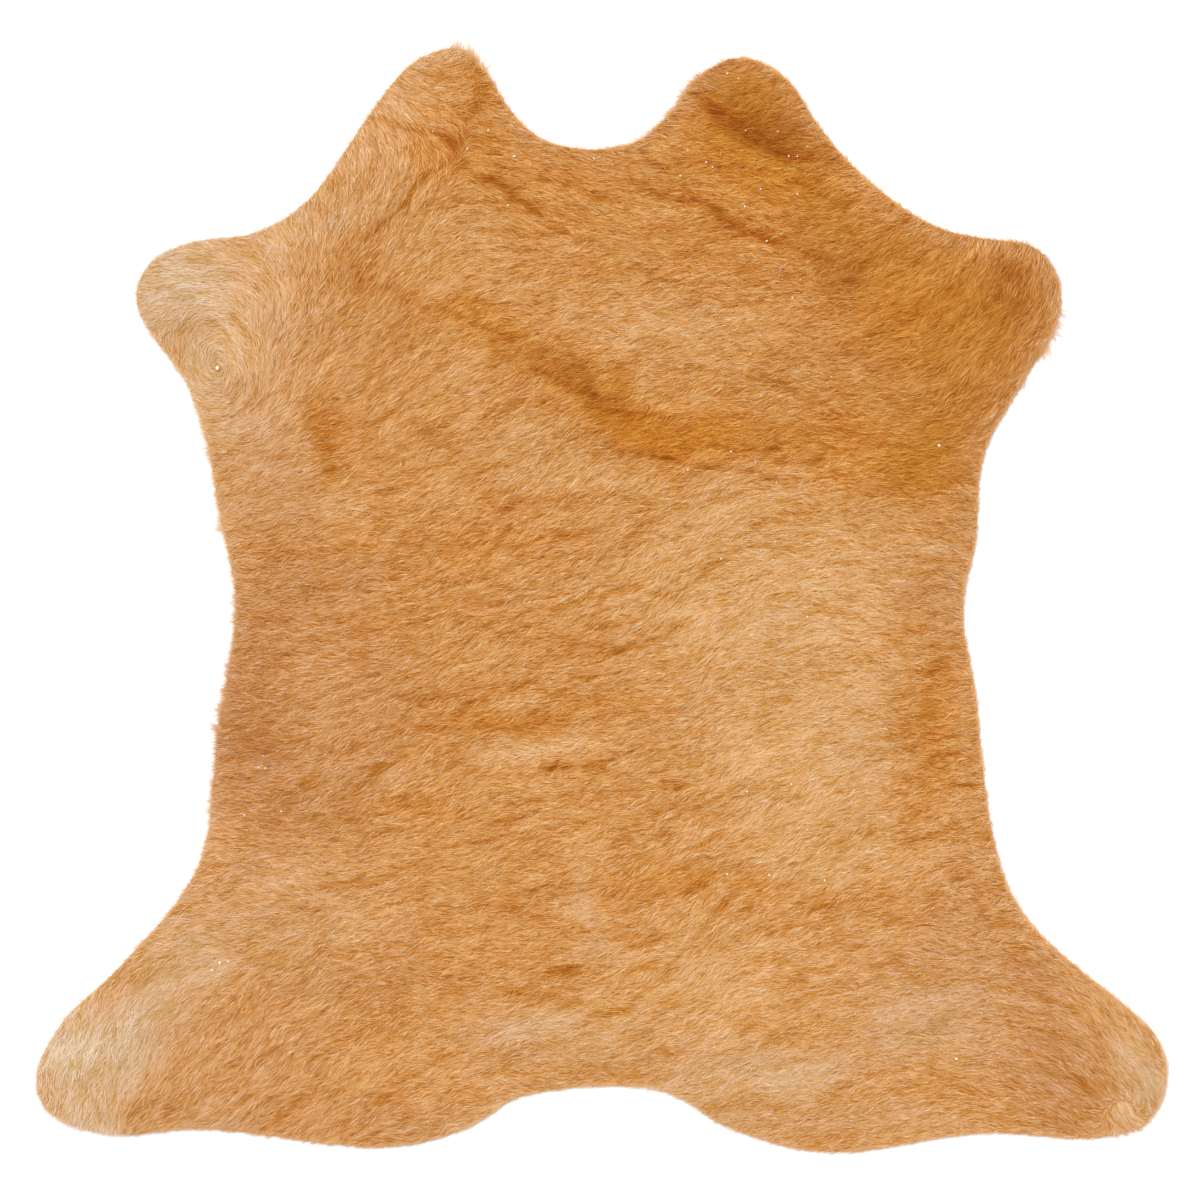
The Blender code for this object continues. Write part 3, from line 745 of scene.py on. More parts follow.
CREASES = (
    # half width in mm, depth, and the points across and along in mm; depth paints shade and lowers the nap,
    # and below nought paints light and raises it
    # left neck and left prong
    (2.4, 1.5, (-188, 392), (-176, 389), (-155, 382), (-137, 379), (-124, 373)),
    (3.4, 1.7, (-124, 373), (-116, 368)), (3.1, 1.6, (-112, 377), (-119, 362)),
    (2.4, 1.4, (-119, 362), (-127, 353), (-143, 344), (-151, 335)),
    (1.8, 1.1, (-151, 335), (-162, 319), (-176, 307), (-192, 294)),
    (2.3, 1.1, (-119, 356), (-107, 351), (-97, 343)), (3.4, 2.1, (-97, 343), (-82, 337), (-70, 325)),
    (7.5, 0.55, (-97, 343), (-70, 325), (-49, 313)), (3.0, 2.1, (-70, 325), (-58, 320), (-49, 313)),
    (1.6, 1.3, (-49, 313), (-40, 305)), (2.0, 0.9, (-40, 301), (-29, 298), (-13, 290)),
    (2.0, 1.2, (-120, 325), (-113, 323), (-100, 322), (-86, 324)),
    (2.3, 0.9, (-163, 313), (-147, 320), (-134, 321), (-123, 317)),
    (1.8, 1.0, (-102, 301), (-90, 300), (-78, 299), (-62, 295)), (1.5, 0.6, (-62, 295), (-41, 298)),
    (4.9, 1.0, (-107, 436), (-98, 423), (-98, 411)), (3.3, 1.3, (-101, 409), (-105, 400), (-108, 390)),
    # below the neck bay
    (2.1, 0.8, (-107, 375), (-94, 375), (-78, 372)),
    (2.0, 1.0, (-50, 343), (-37, 341), (-24, 336), (-9, 332)), (2.4, 1.0, (-7, 325), (3, 328)),
    (1.6, 0.8, (-66, 281), (-56, 282)), (1.8, 1.0, (-19, 289), (-7, 293)),
    # root of the neck, left
    (1.3, 0.5, (-184, 296), (-168, 298), (-165, 304), (-139, 303)),
    (2.0, 1.0, (-177, 255), (-167, 249), (-160, 246), (-152, 242)), (2.0, 0.9, (-144, 236), (-126, 238)),
    (2.4, 1.0, (-196, 259), (-186, 259)), (2.4, 0.7, (-43, 238), (-37, 236)),
    # right prong and right neck
    (2.9, 1.2, (32, 366), (41, 354), (52, 350)), (4.9, 0.95, (81, 411), (93, 397), (109, 384)),
    (5.7, 0.95, (109, 384), (123, 374), (137, 366)),
    (3.7, 1.1, (137, 366), (154, 360), (172, 357), (190, 358)),
    (2.0, 1.1, (89, 354), (101, 351), (117, 349), (128, 350), (142, 351)),
    (2.0, 0.9, (20, 342), (32, 338), (44, 333), (44, 329), (64, 327)),
    (3.2, 2.0, (64, 325), (81, 324), (94, 317), (100, 306)),
    (4.4, 2.0, (100, 305), (113, 303), (129, 296), (142, 288)),
    (3.8, 1.3, (142, 292), (162, 285), (174, 280), (186, 275)),
    (9.0, 0.45, (81, 324), (100, 308), (129, 296), (162, 284)), (3.3, 1.0, (194, 260), (207, 258)),
    (3.3, 1.1, (207, 264), (217, 275)), (1.6, 0.6, (174, 270), (194, 260)),
    (2.4, 1.1, (150, 340), (166, 336), (182, 329), (198, 322), (207, 324)),
    (2.4, 0.9, (170, 315), (178, 316)), (1.5, 0.7, (81, 293), (93, 294)),
    (1.3, 0.7, (133, 310), (158, 312)), (1.8, 0.8, (190, 298), (203, 304)),
    # middle of the neck
    (2.3, 1.0, (32, 270), (43, 264), (52, 259), (66, 258)), (1.3, 0.7, (72, 251), (98, 246)),
    (2.0, 1.1, (107, 237), (117, 241), (127, 238), (136, 246)), (1.5, 0.6, (136, 246), (162, 250)),
    # the shoulder crease, from the left foreleg's root to the middle
    (2.1, 0.7, (-214, 296), (-198, 275), (-196, 252)), (2.1, 0.6, (-203, 255), (-162, 252)),
    (2.4, 0.6, (-162, 254), (-127, 236)),
    (2.4, 0.8, (-127, 236), (-97, 221), (-78, 217), (-66, 207), (-55, 190)),
    (1.8, 0.6, (-82, 207), (-46, 194)), (3.3, 1.3, (-55, 189), (-40, 182), (-24, 171)),
    (2.4, 1.1, (-24, 171), (-9, 168), (-1, 165)), (2.6, 1.1, (-50, 161), (-32, 154)),
    (2.1, 1.3, (-9, 157), (15, 153), (44, 149), (61, 146)),
    # upper back and right shoulder
    (1.8, 0.8, (-40, 126), (-33, 134), (-21, 137), (3, 135)),
    (2.0, 1.0, (-107, 94), (-97, 103), (-82, 111), (-66, 108)), (1.6, 0.7, (-70, 102), (-46, 98)),
    (2.3, 1.0, (-100, 81), (-90, 88)), (2.3, 1.1, (-82, 65), (-76, 73), (-69, 83)),
    (2.4, 1.0, (-94, 37), (-86, 44), (-72, 62)), (1.8, 0.8, (-139, 134), (-119, 148)),
    (1.8, 0.9, (-94, 148), (-84, 156)), (1.6, 0.7, (-5, 122), (20, 121)),
    (2.3, 1.8, (28, 120), (40, 117), (64, 111)), (1.8, 1.2, (64, 111), (81, 109), (98, 107)),
    (1.5, 0.9, (98, 107), (117, 104), (137, 98), (166, 96)),
    (2.0, 1.1, (81, 126), (101, 123), (121, 120)), (2.3, 1.6, (121, 120), (146, 124)),
    (3.3, 1.2, (166, 110), (180, 116)), (2.8, 1.4, (136, 179), (144, 177), (155, 171)),
    (1.6, 0.8, (115, 177), (133, 179)), (1.6, 0.8, (90, 168), (109, 171)),
    (2.4, 0.5, (219, 185), (243, 179)),
    # middle of the back
    (2.1, 1.2, (7, 88), (22, 82)), (1.3, 0.6, (-33, 84), (-1, 85)),
    (1.6, 0.9, (38, 80), (52, 74), (76, 76)), (1.6, 0.7, (64, 84), (85, 86)),
    (2.4, 1.1, (-37, 50), (-17, 54), (-2, 58)), (2.0, 1.1, (-74, 39), (-62, 44), (-46, 50)),
    (2.3, 0.9, (24, 51), (32, 55), (52, 52), (68, 47)), (2.4, 0.9, (72, 59), (85, 61)),
    (1.8, 0.8, (117, 57), (146, 63)), (1.8, 0.9, (-9, 31), (20, 36)), (1.8, 0.8, (40, 26), (72, 39)),
    (2.6, 1.3, (81, 20), (90, 28), (101, 31)), (2.4, 1.2, (40, 4), (54, 10)),
    (2.4, 1.4, (54, -1), (64, 4)), (2.1, 0.9, (-25, -2), (-1, 3), (32, 11)),
    (1.8, 1.1, (-102, 2), (-90, -5), (-78, -2)), (1.8, 1.0, (137, 2), (158, 5)),
    (2.9, 0.75, (54, -30), (60, -23), (72, -18)), (1.8, 1.0, (-9, -22), (15, -22)),
    (1.6, 0.8, (-41, -26), (-21, -36), (7, -37)),
    # slanting marks on the loin
    (2.1, 1.2, (11, -44), (28, -37), (44, -33)),
    (2.3, 1.2, (-50, -83), (-37, -76), (-17, -68), (-1, -61)), (2.1, 1.1, (-70, -72), (-50, -65)),
    (1.8, 1.0, (14, -61), (28, -59)), (2.4, 1.4, (-119, -98), (-113, -91), (-107, -84)),
    (2.0, 1.0, (93, -65), (109, -58), (117, -54)), (2.0, 1.1, (154, -61), (170, -51)),
    (2.0, 1.1, (81, -85), (93, -79)),
    # left chest and waist
    (2.3, 0.9, (-172, 16), (-163, 19)), (1.6, 0.8, (-245, 10), (-186, 7)),
    (1.6, 0.8, (-159, -8), (-131, -7), (-123, 2)), (1.8, 0.9, (-204, -49), (-194, -46)),
    (1.8, 1.0, (-188, -63), (-176, -61)), (1.8, 0.9, (-184, -73), (-159, -81), (-135, -81)),
    (1.4, 0.8, (-220, -73), (-196, -68)),
    # low back
    (2.0, 0.9, (-161, -99), (-143, -102), (-119, -104)), (2.0, 0.8, (-105, -103), (-66, -104)),
    (2.4, 0.9, (-66, -104), (-33, -98), (-2, -96)), (2.1, 0.8, (-2, -96), (32, -90)),
    (2.4, 1.1, (-204, -124), (-194, -118)), (2.4, 1.2, (-200, -154), (-188, -145), (-178, -133)),
    (2.0, 0.9, (-102, -146), (-90, -137)), (3.1, 2.2, (-43, -137), (-25, -137)),
    (2.4, 1.2, (-17, -138), (-5, -135), (11, -129)), (2.0, 1.0, (-70, -161), (-46, -163)),
    (2.1, 1.1, (-245, -175), (-230, -177)), (2.1, 1.0, (-163, -168), (-139, -165), (-115, -169)),
    (2.1, 1.0, (-188, -190), (-168, -187), (-155, -194)),
    (1.8, 1.1, (-123, -200), (-116, -198), (-90, -197)), (2.1, 1.0, (-78, -229), (-70, -229)),
    (2.1, 1.0, (-58, -236), (-51, -238)), (1.6, 0.8, (-39, -242), (-29, -228)),
    # low loin, right
    (2.0, 1.0, (9, -201), (24, -190)), (2.0, 1.0, (76, -202), (89, -195), (98, -191)),
    (1.8, 1.0, (48, -192), (60, -190)), (1.5, 0.8, (52, -181), (72, -171), (97, -160)),
    (2.4, 1.2, (7, -244), (15, -236)), (2.0, 0.9, (32, -244), (52, -238)),
    (2.8, 1.3, (68, -238), (82, -231)), (2.8, 1.3, (93, -254), (105, -244)),
    (2.3, 1.1, (117, -252), (125, -251)), (2.0, 1.0, (137, -260), (158, -248), (178, -238)),
    (2.3, 1.1, (174, -252), (190, -247)), (2.3, 1.2, (182, -199), (194, -197)),
    # rump, right thigh and right hip
    (2.1, 1.0, (7, -275), (20, -279), (28, -282), (44, -277), (54, -274)),
    (2.1, 1.2, (24, -299), (41, -297)), (3.3, 1.3, (-40, -303), (-17, -299)),
    (2.1, 0.6, (-82, -297), (-50, -303)), (2.8, 0.9, (-78, -317), (-33, -325)),
    (2.9, 1.2, (-33, -329), (-17, -325)), (3.3, 1.4, (-9, -337), (3, -336), (15, -334)),
    (3.3, 1.4, (20, -332), (28, -325)), (1.8, 0.8, (48, -352), (72, -345)),
    (2.3, 1.1, (113, -350), (123, -347)), (1.8, 0.8, (146, -373), (166, -374)),
    (2.3, 1.1, (144, -297), (154, -294)), (2.3, 1.2, (203, -329), (212, -326)),
    (2.1, 1.0, (219, -299), (239, -295), (247, -291)), (2.3, 1.2, (242, -309), (258, -306), (264, -309)),
    (4.9, 0.6, (225, -261), (239, -259)), (2.0, 0.9, (251, -260), (268, -265)),
    (2.0, 1.2, (284, -229), (297, -226)),
    # right flank, back and ribs
    (2.3, 1.1, (203, -91), (219, -94)), (2.0, 1.0, (223, -112), (239, -115)),
    (3.3, 0.9, (243, -122), (255, -122)), (1.8, 0.9, (259, -130), (276, -128)),
    (1.8, 0.9, (264, -116), (288, -111)), (2.4, 1.0, (239, -142), (255, -148)),
    (2.4, 0.8, (276, -150), (300, -152)), (3.3, 0.9, (264, -62), (279, -49)),
    (2.8, 0.8, (233, -83), (250, -78)), (2.8, 0.6, (243, -83), (248, -118)),
    (2.0, 1.1, (129, -106), (136, -98)), (2.0, 0.9, (150, -161), (166, -159)),
    (1.6, 0.9, (40, -122), (72, -120)), (2.3, 1.1, (60, -153), (68, -149)),
    (1.8, 0.9, (259, -194), (292, -182)), (2.4, 0.7, (177, -5), (212, -16), (237, -34)),
    (3.3, 0.7, (183, -66), (196, -70)), (2.8, 0.8, (280, 93), (300, 98)),
    (2.8, 0.5, (282, 146), (302, 159)), (2.6, 0.7, (264, 8), (276, 11)),
    # edges of the rump, and right hind leg
    (2.3, 0.5, (-208, -313), (-162, -319)), (2.4, 0.4, (-245, -395), (-163, -407)),
    (3.3, 0.8, (81, -414), (163, -410)), (3.7, 0.9, (354, -317), (362, -327)),
    (2.8, 0.8, (333, -291), (344, -286)), (4.4, 0.9, (385, -389), (396, -400)),
    # right foreleg
    (3.3, 0.8, (325, 281), (323, 244)), (5.7, 0.5, (328, 259), (347, 268)),
    # left elbow
    (6.0, -0.55, (-247, 152), (-246, 130), (-236, 106)),
    (12.0, 0.36, (-231, 153), (-229, 130), (-216, 102)), (7.0, 0.06, (-227, 142), (-216, 104)),
    (2.3, 0.6, (-192, 142), (-163, 155)),
    # arcs of the whorl, and marks beside it
    (1.8, 0.8, (-316, 226), (-305, 216), (-299, 203)), (1.8, 0.7, (-299, 194), (-303, 185), (-313, 181)),
    (1.8, 0.8, (-300, 229), (-290, 220), (-286, 207)), (1.8, 0.6, (-290, 257), (-276, 252), (-271, 238)),
    (1.8, 0.5, (-333, 199), (-329, 189), (-321, 181)), (2.8, 0.5, (-346, 247), (-336, 244)),
    (2.1, 0.8, (-286, 194), (-281, 172)), (2.1, 0.7, (-289, 159), (-284, 153)),
    # lit sides and lit spots, painted paler
    (4.9, -0.7, (-108, 368), (-100, 348)), (4.1, -0.6, (-107, 335), (-78, 329)),
    (5.7, -0.6, (97, 377), (129, 358), (150, 348)), (4.9, -0.4, (166, 321), (193, 307)),
    (4.1, -0.5, (113, 290), (142, 283)), (4.1, -0.6, (-54, 175), (-37, 168), (-17, 161)),
    (3.3, -0.7, (-308, 228), (-295, 211), (-294, 185)),
    (2.4, -0.5, (-297, 185), (-308, 169), (-325, 172)), (4.9, -0.5, (-363, 244), (-349, 242)),
    (3.3, -0.4, (-322, 264), (-298, 274)), (5.7, -0.5, (-300, 138), (-276, 143)),
    (6.5, -0.7, (172, 8), (190, 13)), (4.9, -0.5, (-82, -127), (-1, -116)),
    (4.1, -0.4, (-82, -86), (-33, -80)), (3.3, -0.4, (-70, -160), (-46, -155)),
    (5.7, -0.35, (-17, -228), (-11, -251)), (4.1, -0.4, (-24, -285), (9, -280)),
    (4.9, -0.4, (-78, -348), (-32, -342)), (4.9, -0.35, (117, -283), (162, -280)),
    (3.3, -0.6, (280, -205), (300, -200)), (6.5, -0.5, (-440, -364), (-359, -374)),
    (3.3, -0.8, (259, 42), (279, 41)), (4.9, -0.4, (250, -137), (255, -140)),
    (5.7, -0.5, (248, 215), (268, 210)),
)

# The streaks paint light and shade along the lie; their dark lines stand for shade between tufts. They also
# raise and sink the nap.
FINE_STREAKS = 0.34
BROAD_STREAKS = 0.29
STREAK_STEPS = 7
DARK_STREAKS = 1.25           # broad streaks darken more than they light
PALE_STREAKS = 0.85
CREASE_WANDER = 1.1 * MM
CREASE_SHADE = 1.30           # how much painted shade a crease one deep puts on the hair in it
CREASE_DEPTH = 0.32           # and how far it lets the nap down, as a share of its own height

lie_table = [part.reshape(table_size) for part in lie_of_hair(table_places).T]


def read_lie(places):
    """The lie of the hair read from its table, as unit directions."""
    lie = np.column_stack([read_table(part, places) for part in lie_table])
    return lie / np.maximum(np.linalg.norm(lie, axis=1), 0.001)[:, None]


nap_places, nap_size = table_grid(NAP_CELL)


def streak_table(pitch, reach, seed):
    """Streaks of the nap, about -1 to 1: a random value drawn out along the lie of the hair."""
    grain = drift(nap_places, pitch, seed).reshape(nap_size)
    total = grain.ravel().copy()
    weights = 1.0
    for way in (-1, 1):
        at = nap_places
        for k in range(1, STREAK_STEPS + 1):
            at = at + way * read_lie(at) * (reach / STREAK_STEPS)
            weight = 1 - 0.6 * k / STREAK_STEPS
            total += weight * read_table(grain, at, NAP_CELL)
            weights += weight * weight
    return (total / weights ** 0.5).reshape(nap_size)


def crease_table():
    """How deep the creases are, from 0 to about 1.5, and below 0 where the nap is painted as lit."""
    wander = np.column_stack([drift(nap_places, 0.010, 61), drift(nap_places, 0.010, 62)])
    wander += 0.5 * np.column_stack([drift(nap_places, 0.004, 63), drift(nap_places, 0.004, 64)])
    warped = (nap_places + CREASE_WANDER * wander).reshape(*nap_size, 2)
    deep = np.zeros(nap_size)
    lit = np.zeros(nap_size)
    for half_width, depth, *points in CREASES:
        part = deep if depth > 0 else lit
        for start, end in zip(points, points[1:]):
            start = np.array(start) * MM
            end = np.array(end) * MM
            margin = 3 * half_width * MM + 2 * CREASE_WANDER
            low = ((np.minimum(start, end) - margin - table_low) / NAP_CELL).astype(int)
            high = ((np.maximum(start, end) + margin - table_low) / NAP_CELL).astype(int)
            box = (slice(low[0], high[0]), slice(low[1], high[1]))
            off = warped[box] - start
            run = end - start
            share = np.clip(off @ run / (run @ run), 0.0, 1.0)
            away = np.linalg.norm(off - share[..., None] * run, axis=-1) / (half_width * MM)
            part[box] = np.maximum(part[box], abs(depth) * np.exp(-away * away))
    return deep - lit


fine_streaks = streak_table(1.8 * MM, 7.0 * MM, 51)
broad_streaks = streak_table(5.0 * MM, 13.0 * MM, 52)
broad_streaks *= np.where(broad_streaks < 0, DARK_STREAKS, PALE_STREAKS)
creases = crease_table()


def overhang(places):
    """How far the coat may stand past the cut edge: more where the left flank's hair leaves it."""
    leftwards = np.clip(-places[:, 0] / (180 * MM), 0.0, 1.0)
    on_flank = np.abs(places[:, 1]) < 240 * MM
    return OVERHANG + FLANK_OVERHANG * leftwards * on_flank


def shading(shade):
    """What steps of shade or light multiply a colour by."""
    return np.exp(np.where(shade < 0, shade * DARKER, shade * PALER))


def grow_hair(name, lock, pitch, length, width, rise, tones, seed, cells):
    """One layer of hair over the whole skin.

    rise gives the heights of root, bend and tip as shares of the nap's depth, and tones the
    layer's own shade and how far single hairs, tufts and streaks differ from it.
    """
    roots, dice = root_places(pitch, seed)
    count = len(roots)
    lie = read_lie(roots)
    to_small, small = tuft_of(roots, lie, *SMALL_TUFTS)
    _, large = tuft_of(roots, lie, *LARGE_TUFTS)
    own_lean = HAIR_LEAN * dice.normal(size=count).clip(-2, 2)
    bend = np.radians(SMALL_LEAN * small[:, 0] + LARGE_LEAN * large[:, 0] + own_lean)
    lie = np.column_stack([
        lie[:, 0] * np.cos(bend) - lie[:, 1] * np.sin(bend),
        lie[:, 0] * np.sin(bend) + lie[:, 1] * np.cos(bend),
    ])
    reach = length * (1.0 + LENGTH_SPREAD * dice.normal(size=count).clip(-2, 2))
    reach *= 1.0 + TUFT_LENGTH_SPREAD * small[:, 1]
    middle = roots + 0.5 * reach[:, None] * lie
    onward = lie + TURN_ALONG * (read_lie(middle) - read_lie(roots))
    onward /= np.linalg.norm(onward, axis=1)[:, None]
    gather = to_small - (to_small * lie).sum(axis=1)[:, None] * lie
    tip = middle + 0.5 * reach[:, None] * onward + GATHERING * gather

    inset_root = read_table(inset_table, roots) - EDGE_DRAWN_IN
    inset_tip = read_table(inset_table, tip) - EDGE_DRAWN_IN
    allowed = overhang(roots) * (0.2 + 0.8 * dice.random(count) ** 1.5)
    over = -inset_tip - allowed
    trim = np.where(over > 0, (inset_root + allowed) / np.maximum(inset_root - inset_tip, 0.1 * MM), 1.0)
    trim = trim.clip(0.15, 1.0)[:, None]
    middle = roots + trim * (middle - roots)
    tip = roots + trim * (tip - roots)

    own, single, tufted, streaked = tones
    coat = read_coat(middle)
    calm = 1 - CALM * ((coat[:, 2] - PALE_FROM) / PALE_SPAN).clip(0.0, 1.0)
    spine = np.zeros((count, 3, 3))
    colours = np.zeros((count, 3, 3))
    chances = dice.normal(size=(2, count)).clip(-2.2, 2.2)
    for k, (at, share) in enumerate(zip((roots, middle, tip), rise)):
        fine = read_table(fine_streaks, at, NAP_CELL)
        broad = read_table(broad_streaks, at, NAP_CELL)
        depth = read_table(creases, at, NAP_CELL)
        lift = LOCK_LIFT * chances[0] + LOCK_LIFT * small[:, 1] + LOCK_LIFT * large[:, 1]
        lift = lift + FINE_LIFT * fine + BROAD_LIFT * broad
        outside = np.maximum(-(read_table(inset_table, at) - EDGE_DRAWN_IN), 0.0)
        raised = skin_height(at) + NAP_DEPTH * (share * (1 - CREASE_DEPTH * depth) + lift * k / 2)
        raised = 0.5 * MM + (raised - 0.5 * MM) * np.exp(-outside / DROOP)
        spine[:, k, :2] = at
        spine[:, k, 2] = np.maximum(raised, LOWEST_HAIR)
        shade = own + single * chances[1] + tufted * (small[:, 0] + 0.6 * large[:, 0])
        # painted light and shade: streaks along the lie, shade in the creases and light on their lit sides
        shade += streaked * (FINE_STREAKS * fine + BROAD_STREAKS * broad) - CREASE_SHADE * depth
        shade = (shade * calm)[:, None]
        colours[:, k] = shading(shade)
    colours *= coat[:, None, :]
    colours[..., 2] = np.minimum(colours[..., 2], COOLEST * colours[..., 1])
    thickness = width * (0.75 + 0.5 * dice.random(count))
    roll = np.radians(HAIR_ROLL) * dice.normal(size=count).clip(-2, 2)
    return stamp_locks(name, lock, spine, thickness, roll, colours.clip(0.0, PALEST), cells)


def hair_shaft_group():
    """Colour along and across a lock: darker roots as painted shade from the hair above, paler tips partly
    painted light, and the single hairs in it.
    """
    group = bpy.data.node_groups.new("hair_shaft", "ShaderNodeTree")
    for name in ("Coat", "Root", "Tip"):
        group.interface.new_socket(name=name, in_out="INPUT", socket_type="NodeSocketColor")
    for name, kind in (("Colour", "NodeSocketColor"), ("Height", "NodeSocketFloat")):
        group.interface.new_socket(name=name, in_out="OUTPUT", socket_type=kind)
    given = group.nodes.new("NodeGroupInput")
    result = group.nodes.new("NodeGroupOutput")
    along = stored(group, "along_hair")
    place = plain_node(
        group, "ShaderNodeCombineXYZ", X=stored(group, "across_hair"), Y=along, Z=stored(group, "hair_chance")
    )
    stretch = plain_node(group, "ShaderNodeVectorMath", operation="MULTIPLY")
    stretch.inputs[1].default_value = (14.0, 3.0, 300.0)
    group.links.new(place.outputs["Vector"], stretch.inputs[0])
    shafts = noise(group, 1.0, 1.0, 0.6, at=stretch.outputs["Vector"])
    streak = plain_node(
        group, "ShaderNodeMapRange", Value=shafts, From_Min=0.3, From_Max=0.7, To_Min=0.80, To_Max=1.12
    )
    # painted shade and light: the lock darkens towards its root and pales towards its tip
    fade = plain_node(
        group, "ShaderNodeMix", data_type="RGBA",
        Factor=along, A=given.outputs["Root"], B=given.outputs["Tip"],
    )
    scale = plain_node(group, "ShaderNodeVectorMath", operation="SCALE", Scale=streak.outputs["Result"])
    group.links.new(multiplied(group, given.outputs["Coat"], fade.outputs["Result"]), scale.inputs[0])
    group.links.new(scale.outputs["Vector"], result.inputs["Colour"])
    group.links.new(shafts, result.inputs["Height"])
    return group


hair_shaft = hair_shaft_group()


def hair_material(name, root, tip, roughness):
    """Hair of one layer: its roots and tips tint the coat's colour, with painted shade towards the roots."""
    material, tree, shader = new_material(name, roughness, specular=0.2)
    shaft = plain_node(
        tree, "ShaderNodeGroup", node_tree=hair_shaft,
        Coat=stored(tree, "coat", "Color"), Root=(*root, 1.0), Tip=(*tip, 1.0),
    )
    tree.links.new(shaft.outputs["Colour"], shader.inputs["Base Color"])
    raise_surface(tree, shader, shaft.outputs["Height"], 0.4, 0.0001)
    return material


def finish_hair(piece, material):
    """Give a layer of hair its material and fix it to the hide."""
    piece.data.materials.append(material)
    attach(piece, "root")


straight_hair = model_lock(bends=0)
# Painted shade: the undercoat's own tone and its roots are darker than the layers above it.
undercoat = grow_hair(
    "undercoat", straight_hair, pitch=1.72 * MM, length=6.5 * MM, width=1.15 * MM,
    rise=(0.0, 0.2, 0.45), tones=(-0.12, 0.28, 0.08, 0.8), seed=5, cells=436,
)
finish_hair(undercoat, hair_material("undercoat_hair", (0.94, 0.78, 0.52), (1.0, 0.94, 0.82), 0.75))

# The coat: locks of stiffer hair in two layers that overlap like thatch, the lower ones bent flat
# a little above the root. Neighbouring locks lean together into tufts, and between the tufts the
# darker depth of the nap shows as short wavy lines, partly through gaps and partly as painted streaks of
# shade along the lie.

bent_lock = model_lock(bends=1)
lower_coat = grow_hair(
    "lower_coat", bent_lock, pitch=2.93 * MM, length=8.5 * MM, width=1.0 * MM,
    rise=(0.0, 0.5, 0.66), tones=(-0.04, 0.45, 0.10, 0.85), seed=6, cells=256,
)
finish_hair(lower_coat, hair_material("lower_coat_hair", (0.95, 0.82, 0.60), (1.03, 1.02, 0.96), 0.7))
upper_coat = grow_hair(
    "upper_coat", straight_hair, pitch=1.73 * MM, length=7.2 * MM, width=0.62 * MM,
    rise=(0.34, 0.60, 0.86), tones=(0.03, 0.85, 0.10, 0.9), seed=7, cells=434,
)
finish_hair(upper_coat, hair_material("upper_coat_hair", (0.95, 0.84, 0.63), (1.05, 1.06, 1.04), 0.65))

# The guard hair: the longest and glossiest hairs, which lie on top of the
# coat and catch the light as fine streaks along the lie; their paler tone and tips are partly painted
# highlight.

guard_hair = grow_hair(
    "guard_hair", straight_hair, pitch=1.76 * MM, length=8.0 * MM, width=0.42 * MM,
    rise=(0.5, 0.78, 1.03), tones=(0.10, 1.60, 0.10, 0.9), seed=8, cells=428,
)
finish_hair(guard_hair, hair_material("guard_hair_shafts", (0.96, 0.86, 0.67), (1.07, 1.10, 1.12), 0.6))

# The rim's own hair: fine hairs along the cut edge. Most only soften the cut, and where the coat
# lies outwards they stand past it as wisps, longest on the left flank, the prongs and a foreleg.

RIM_HAIRS = 17000
RIM_HAIR_LENGTH = 5.6 * MM
RIM_HAIR_WIDTH = 0.34 * MM
RIM_OVERHANG = 2.3 * MM       # how far the short ones stand past the cut
RIM_HAIR_BOW = 0.12           # how far they bow aside, as a share of their length
RIM_SHADE = (0.35, 0.25)      # how pale they are, part of the painted glow along the rim, and how far single ones differ
WISPS = (
    # across, along and spread in mm, degrees they point, length past the cut, hairs
    # left prong
    (-116, 447, 4, 88, 7.7, 18), (-103, 446, 4, 97, 9.8, 20), (-98, 436, 5, 72, 5.7, 28),
    (-126, 450, 7, 110, 3.3, 20),
    # right prong and neck bay
    (84, 424, 6, 172, 5.7, 44), (74, 413, 7, 180, 5.3, 52), (64, 400, 7, 186, 4.5, 44),
    (51, 386, 8, 170, 3.7, 44), (38, 376, 7, 140, 3.7, 32), (-1, 368, 24, 150, 1.8, 80),
    # right foreleg
    (371, 228, 6, 322, 6.5, 36), (365, 213, 5, 310, 5.7, 24), (360, 203, 5, 305, 7.3, 32),
    (342, 179, 6, 302, 5.7, 24), (333, 163, 10, 296, 2.8, 24),
    # left armpit, chest and waist
    (-329, 159, 5, 208, 3.7, 32), (-320, 138, 7, 205, 3.3, 44), (-318, 120, 6, 190, 5.7, 32),
    (-313, 91, 10, 188, 2.8, 48), (-311, 65, 7, 198, 5.7, 44), (-301, 33, 11, 184, 2.4, 52),
    (-300, -5, 11, 180, 4.5, 68), (-303, -39, 10, 182, 2.8, 52),
    # left flank and groin
    (-306, -55, 3, 186, 4.5, 28), (-309, -73, 5, 188, 4.1, 40), (-312, -89, 4, 185, 5.3, 40),
    (-312, -104, 3, 183, 6.1, 36), (-313, -119, 5, 186, 4.1, 40), (-315, -135, 5, 188, 4.1, 40),
    (-316, -155, 6, 190, 4.1, 44), (-319, -172, 7, 196, 3.7, 48), (-326, -199, 11, 204, 2.6, 60),
    (-341, -228, 11, 214, 2.1, 60), (-367, -256, 16, 224, 1.8, 68),
)


